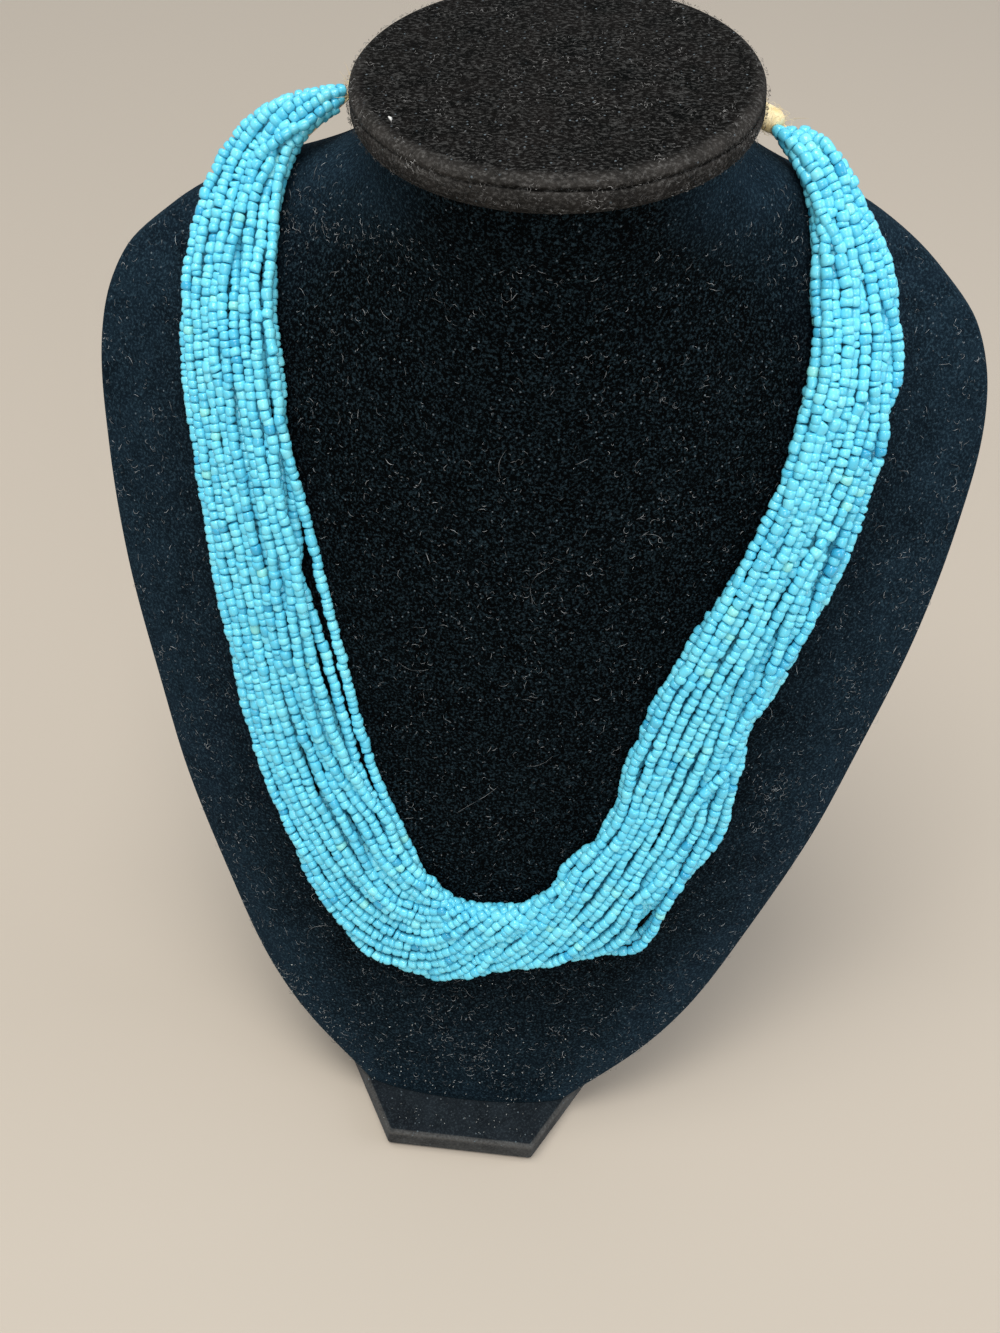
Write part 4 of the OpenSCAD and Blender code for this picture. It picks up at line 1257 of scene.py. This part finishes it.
brushed_nap = fluffy("dull_grey_brushed_nap", 5.0,
                     [(0.38, "#161616"), (0.52, "#444342"), (0.70, "#a09f9d")], 0.9, 0.2, detail=3.0)
places = [np.concatenate(pair) for pair in zip(cap_places(CAP_FIBRES), cap_wall_places(WALL_FIBRES))]
add_hairs("nap_on_cap", brushed_nap, places, rng.gamma(2.5, 0.26, len(places[0])) + 0.25,
          rng.uniform(0.06, 0.13, len(places[0])), 2.0, 5)
fleck_paper, shader = new_material("white_paper_fleck")
link(fleck_paper, shader, {"Base Color": linear("#d8d8d4"), "Roughness": 0.8})
places = leant(np.array(FLECK_AT)) + CAP_AT, leant(np.array([[0.0, 0.0, 1.0]]))
add_hairs("fleck_on_cap", fleck_paper, places, np.array([1.6]), np.array([0.9]), 0.3, 8)

# %% [markdown]
# Fourteen longer hairs have curled up on the chest. Their places, across and up the chest, follow the
# picture.

# %% Long hairs on the chest
HAIR_PLACES = np.array([[0.555, 0.545], [0.610, 0.500], [0.590, 0.520], [0.400, 0.350], [0.30, 0.700],
                        [-0.18, 0.560], [0.05, 0.640], [0.12, 0.480], [-0.10, 0.400], [-0.71, 0.620],
                        [0.74, 0.700], [-0.40, 0.215], [0.22, 0.170], [-0.05, 0.760]])
x, up = HAIR_PLACES[:, 0] * BUST_W / 2, HAIR_PLACES[:, 1]
add_hairs("long_hairs", lint_fibre, (chest_point(x, up), chest_normal(x, up)),
          rng.uniform(7, 16, len(x)), rng.uniform(0.07, 0.10, len(x)), 2.2, 28)

# %% [markdown]
# The cotton of both wraps is fluffy: fine curled fibres stand off it all round, and a few longer wisps
# hang from the end next to the beads.

# %% Fluff and wisps of the wraps
FLUFF_COUNT, FLUFF_MM = 420, 2.0
WISPS, WISP_RINGS = 14, 20


def around(surface, count):
    """Random points of a wrap, with their ways out from its middle line."""
    middle_line = surface.reshape(-1, WRAP_SIDES, 3).mean(1)
    pick = rng.integers(0, len(surface), count)
    return surface[pick], unit(surface[pick] - middle_line[pick // WRAP_SIDES])


for name in ("left", "right"):
    wrap_mesh = bpy.data.objects["wound_thread_" + name].data
    flat = np.empty(len(wrap_mesh.vertices) * 3)
    wrap_mesh.vertices.foreach_get("co", flat)
    surface = flat.reshape(-1, 3) / MM
    add_hairs("fluff_" + name, wrap_cotton, around(surface, FLUFF_COUNT),
              rng.gamma(3.0, FLUFF_MM / 3, FLUFF_COUNT), rng.uniform(0.05, 0.09, FLUFF_COUNT), 3.0, 7)
    roots = surface[rng.integers(0, WRAP_SIDES * WISP_RINGS, WISPS)]
    loose_ways = unit(rng.normal(0, 1, (WISPS, 3)) + [0, -0.6, 0.8])
    add_hairs("wisps_" + name, wrap_cotton, (roots, loose_ways),
              rng.uniform(3, 7, WISPS), rng.uniform(0.06, 0.09, WISPS), 6.0, 18)

# %% [markdown]
# The floor is a plain pale table top under a soft, even studio light: a bright warm panel overhead, a
# softer one in front, a weak cool one at the right, and a pale surround that fills the shadows as the
# walls of a bright room do.

# %% Floor and light
FLOOR_M = 3.0
floor_mesh = bpy.data.meshes.new("floor")
floor_mesh.from_pydata([(-FLOOR_M, -FLOOR_M, 0), (FLOOR_M, -FLOOR_M, 0), (FLOOR_M, FLOOR_M, 0),
                        (-FLOOR_M, FLOOR_M, 0)], [], [(0, 1, 2, 3)])
floor = bpy.data.objects.new("floor", floor_mesh)
bpy.context.scene.collection.objects.link(floor)
table_top, shader = new_material("pale_matt_table_top")
link(table_top, shader, {"Base Color": linear("#b5aa9c"), "Roughness": 0.6})
floor_mesh.materials.append(table_top)

world = bpy.data.worlds.new("pale_room")
world.use_nodes = True
world.node_tree.nodes["Background"].inputs["Color"].default_value = linear("#e8edf2")
world.node_tree.nodes["Background"].inputs["Strength"].default_value = 0.65
bpy.context.scene.world = world


def panel(name, at_m, size_m, watts, code, aim_m=(0, 0, 0.15)):
    """A square area light at a place, turned to face the middle of the bust."""
    data = bpy.data.lights.new(name, "AREA")
    data.size, data.energy, data.color = size_m, watts, linear(code)[:3]
    lamp = bpy.data.objects.new(name, data)
    bpy.context.scene.collection.objects.link(lamp)
    back = unit(np.array(at_m) - np.array(aim_m))
    right_way = unit(np.cross([0.0, 1.0, 0.01], back))
    lamp.matrix_world = standing(right_way, np.cross(back, right_way), back, at_m)


panel("overhead_panel", (-0.2, -0.15, 1.5), 0.8, 17, "#fffdf8")
panel("front_panel", (0.35, -1.5, 0.9), 0.9, 9, "#fffaf4")
panel("right_panel", (1.3, 0.1, 0.8), 0.9, 6, "#eef4ff")
print("Lights:", ", ".join(lamp.name for lamp in bpy.data.lights))
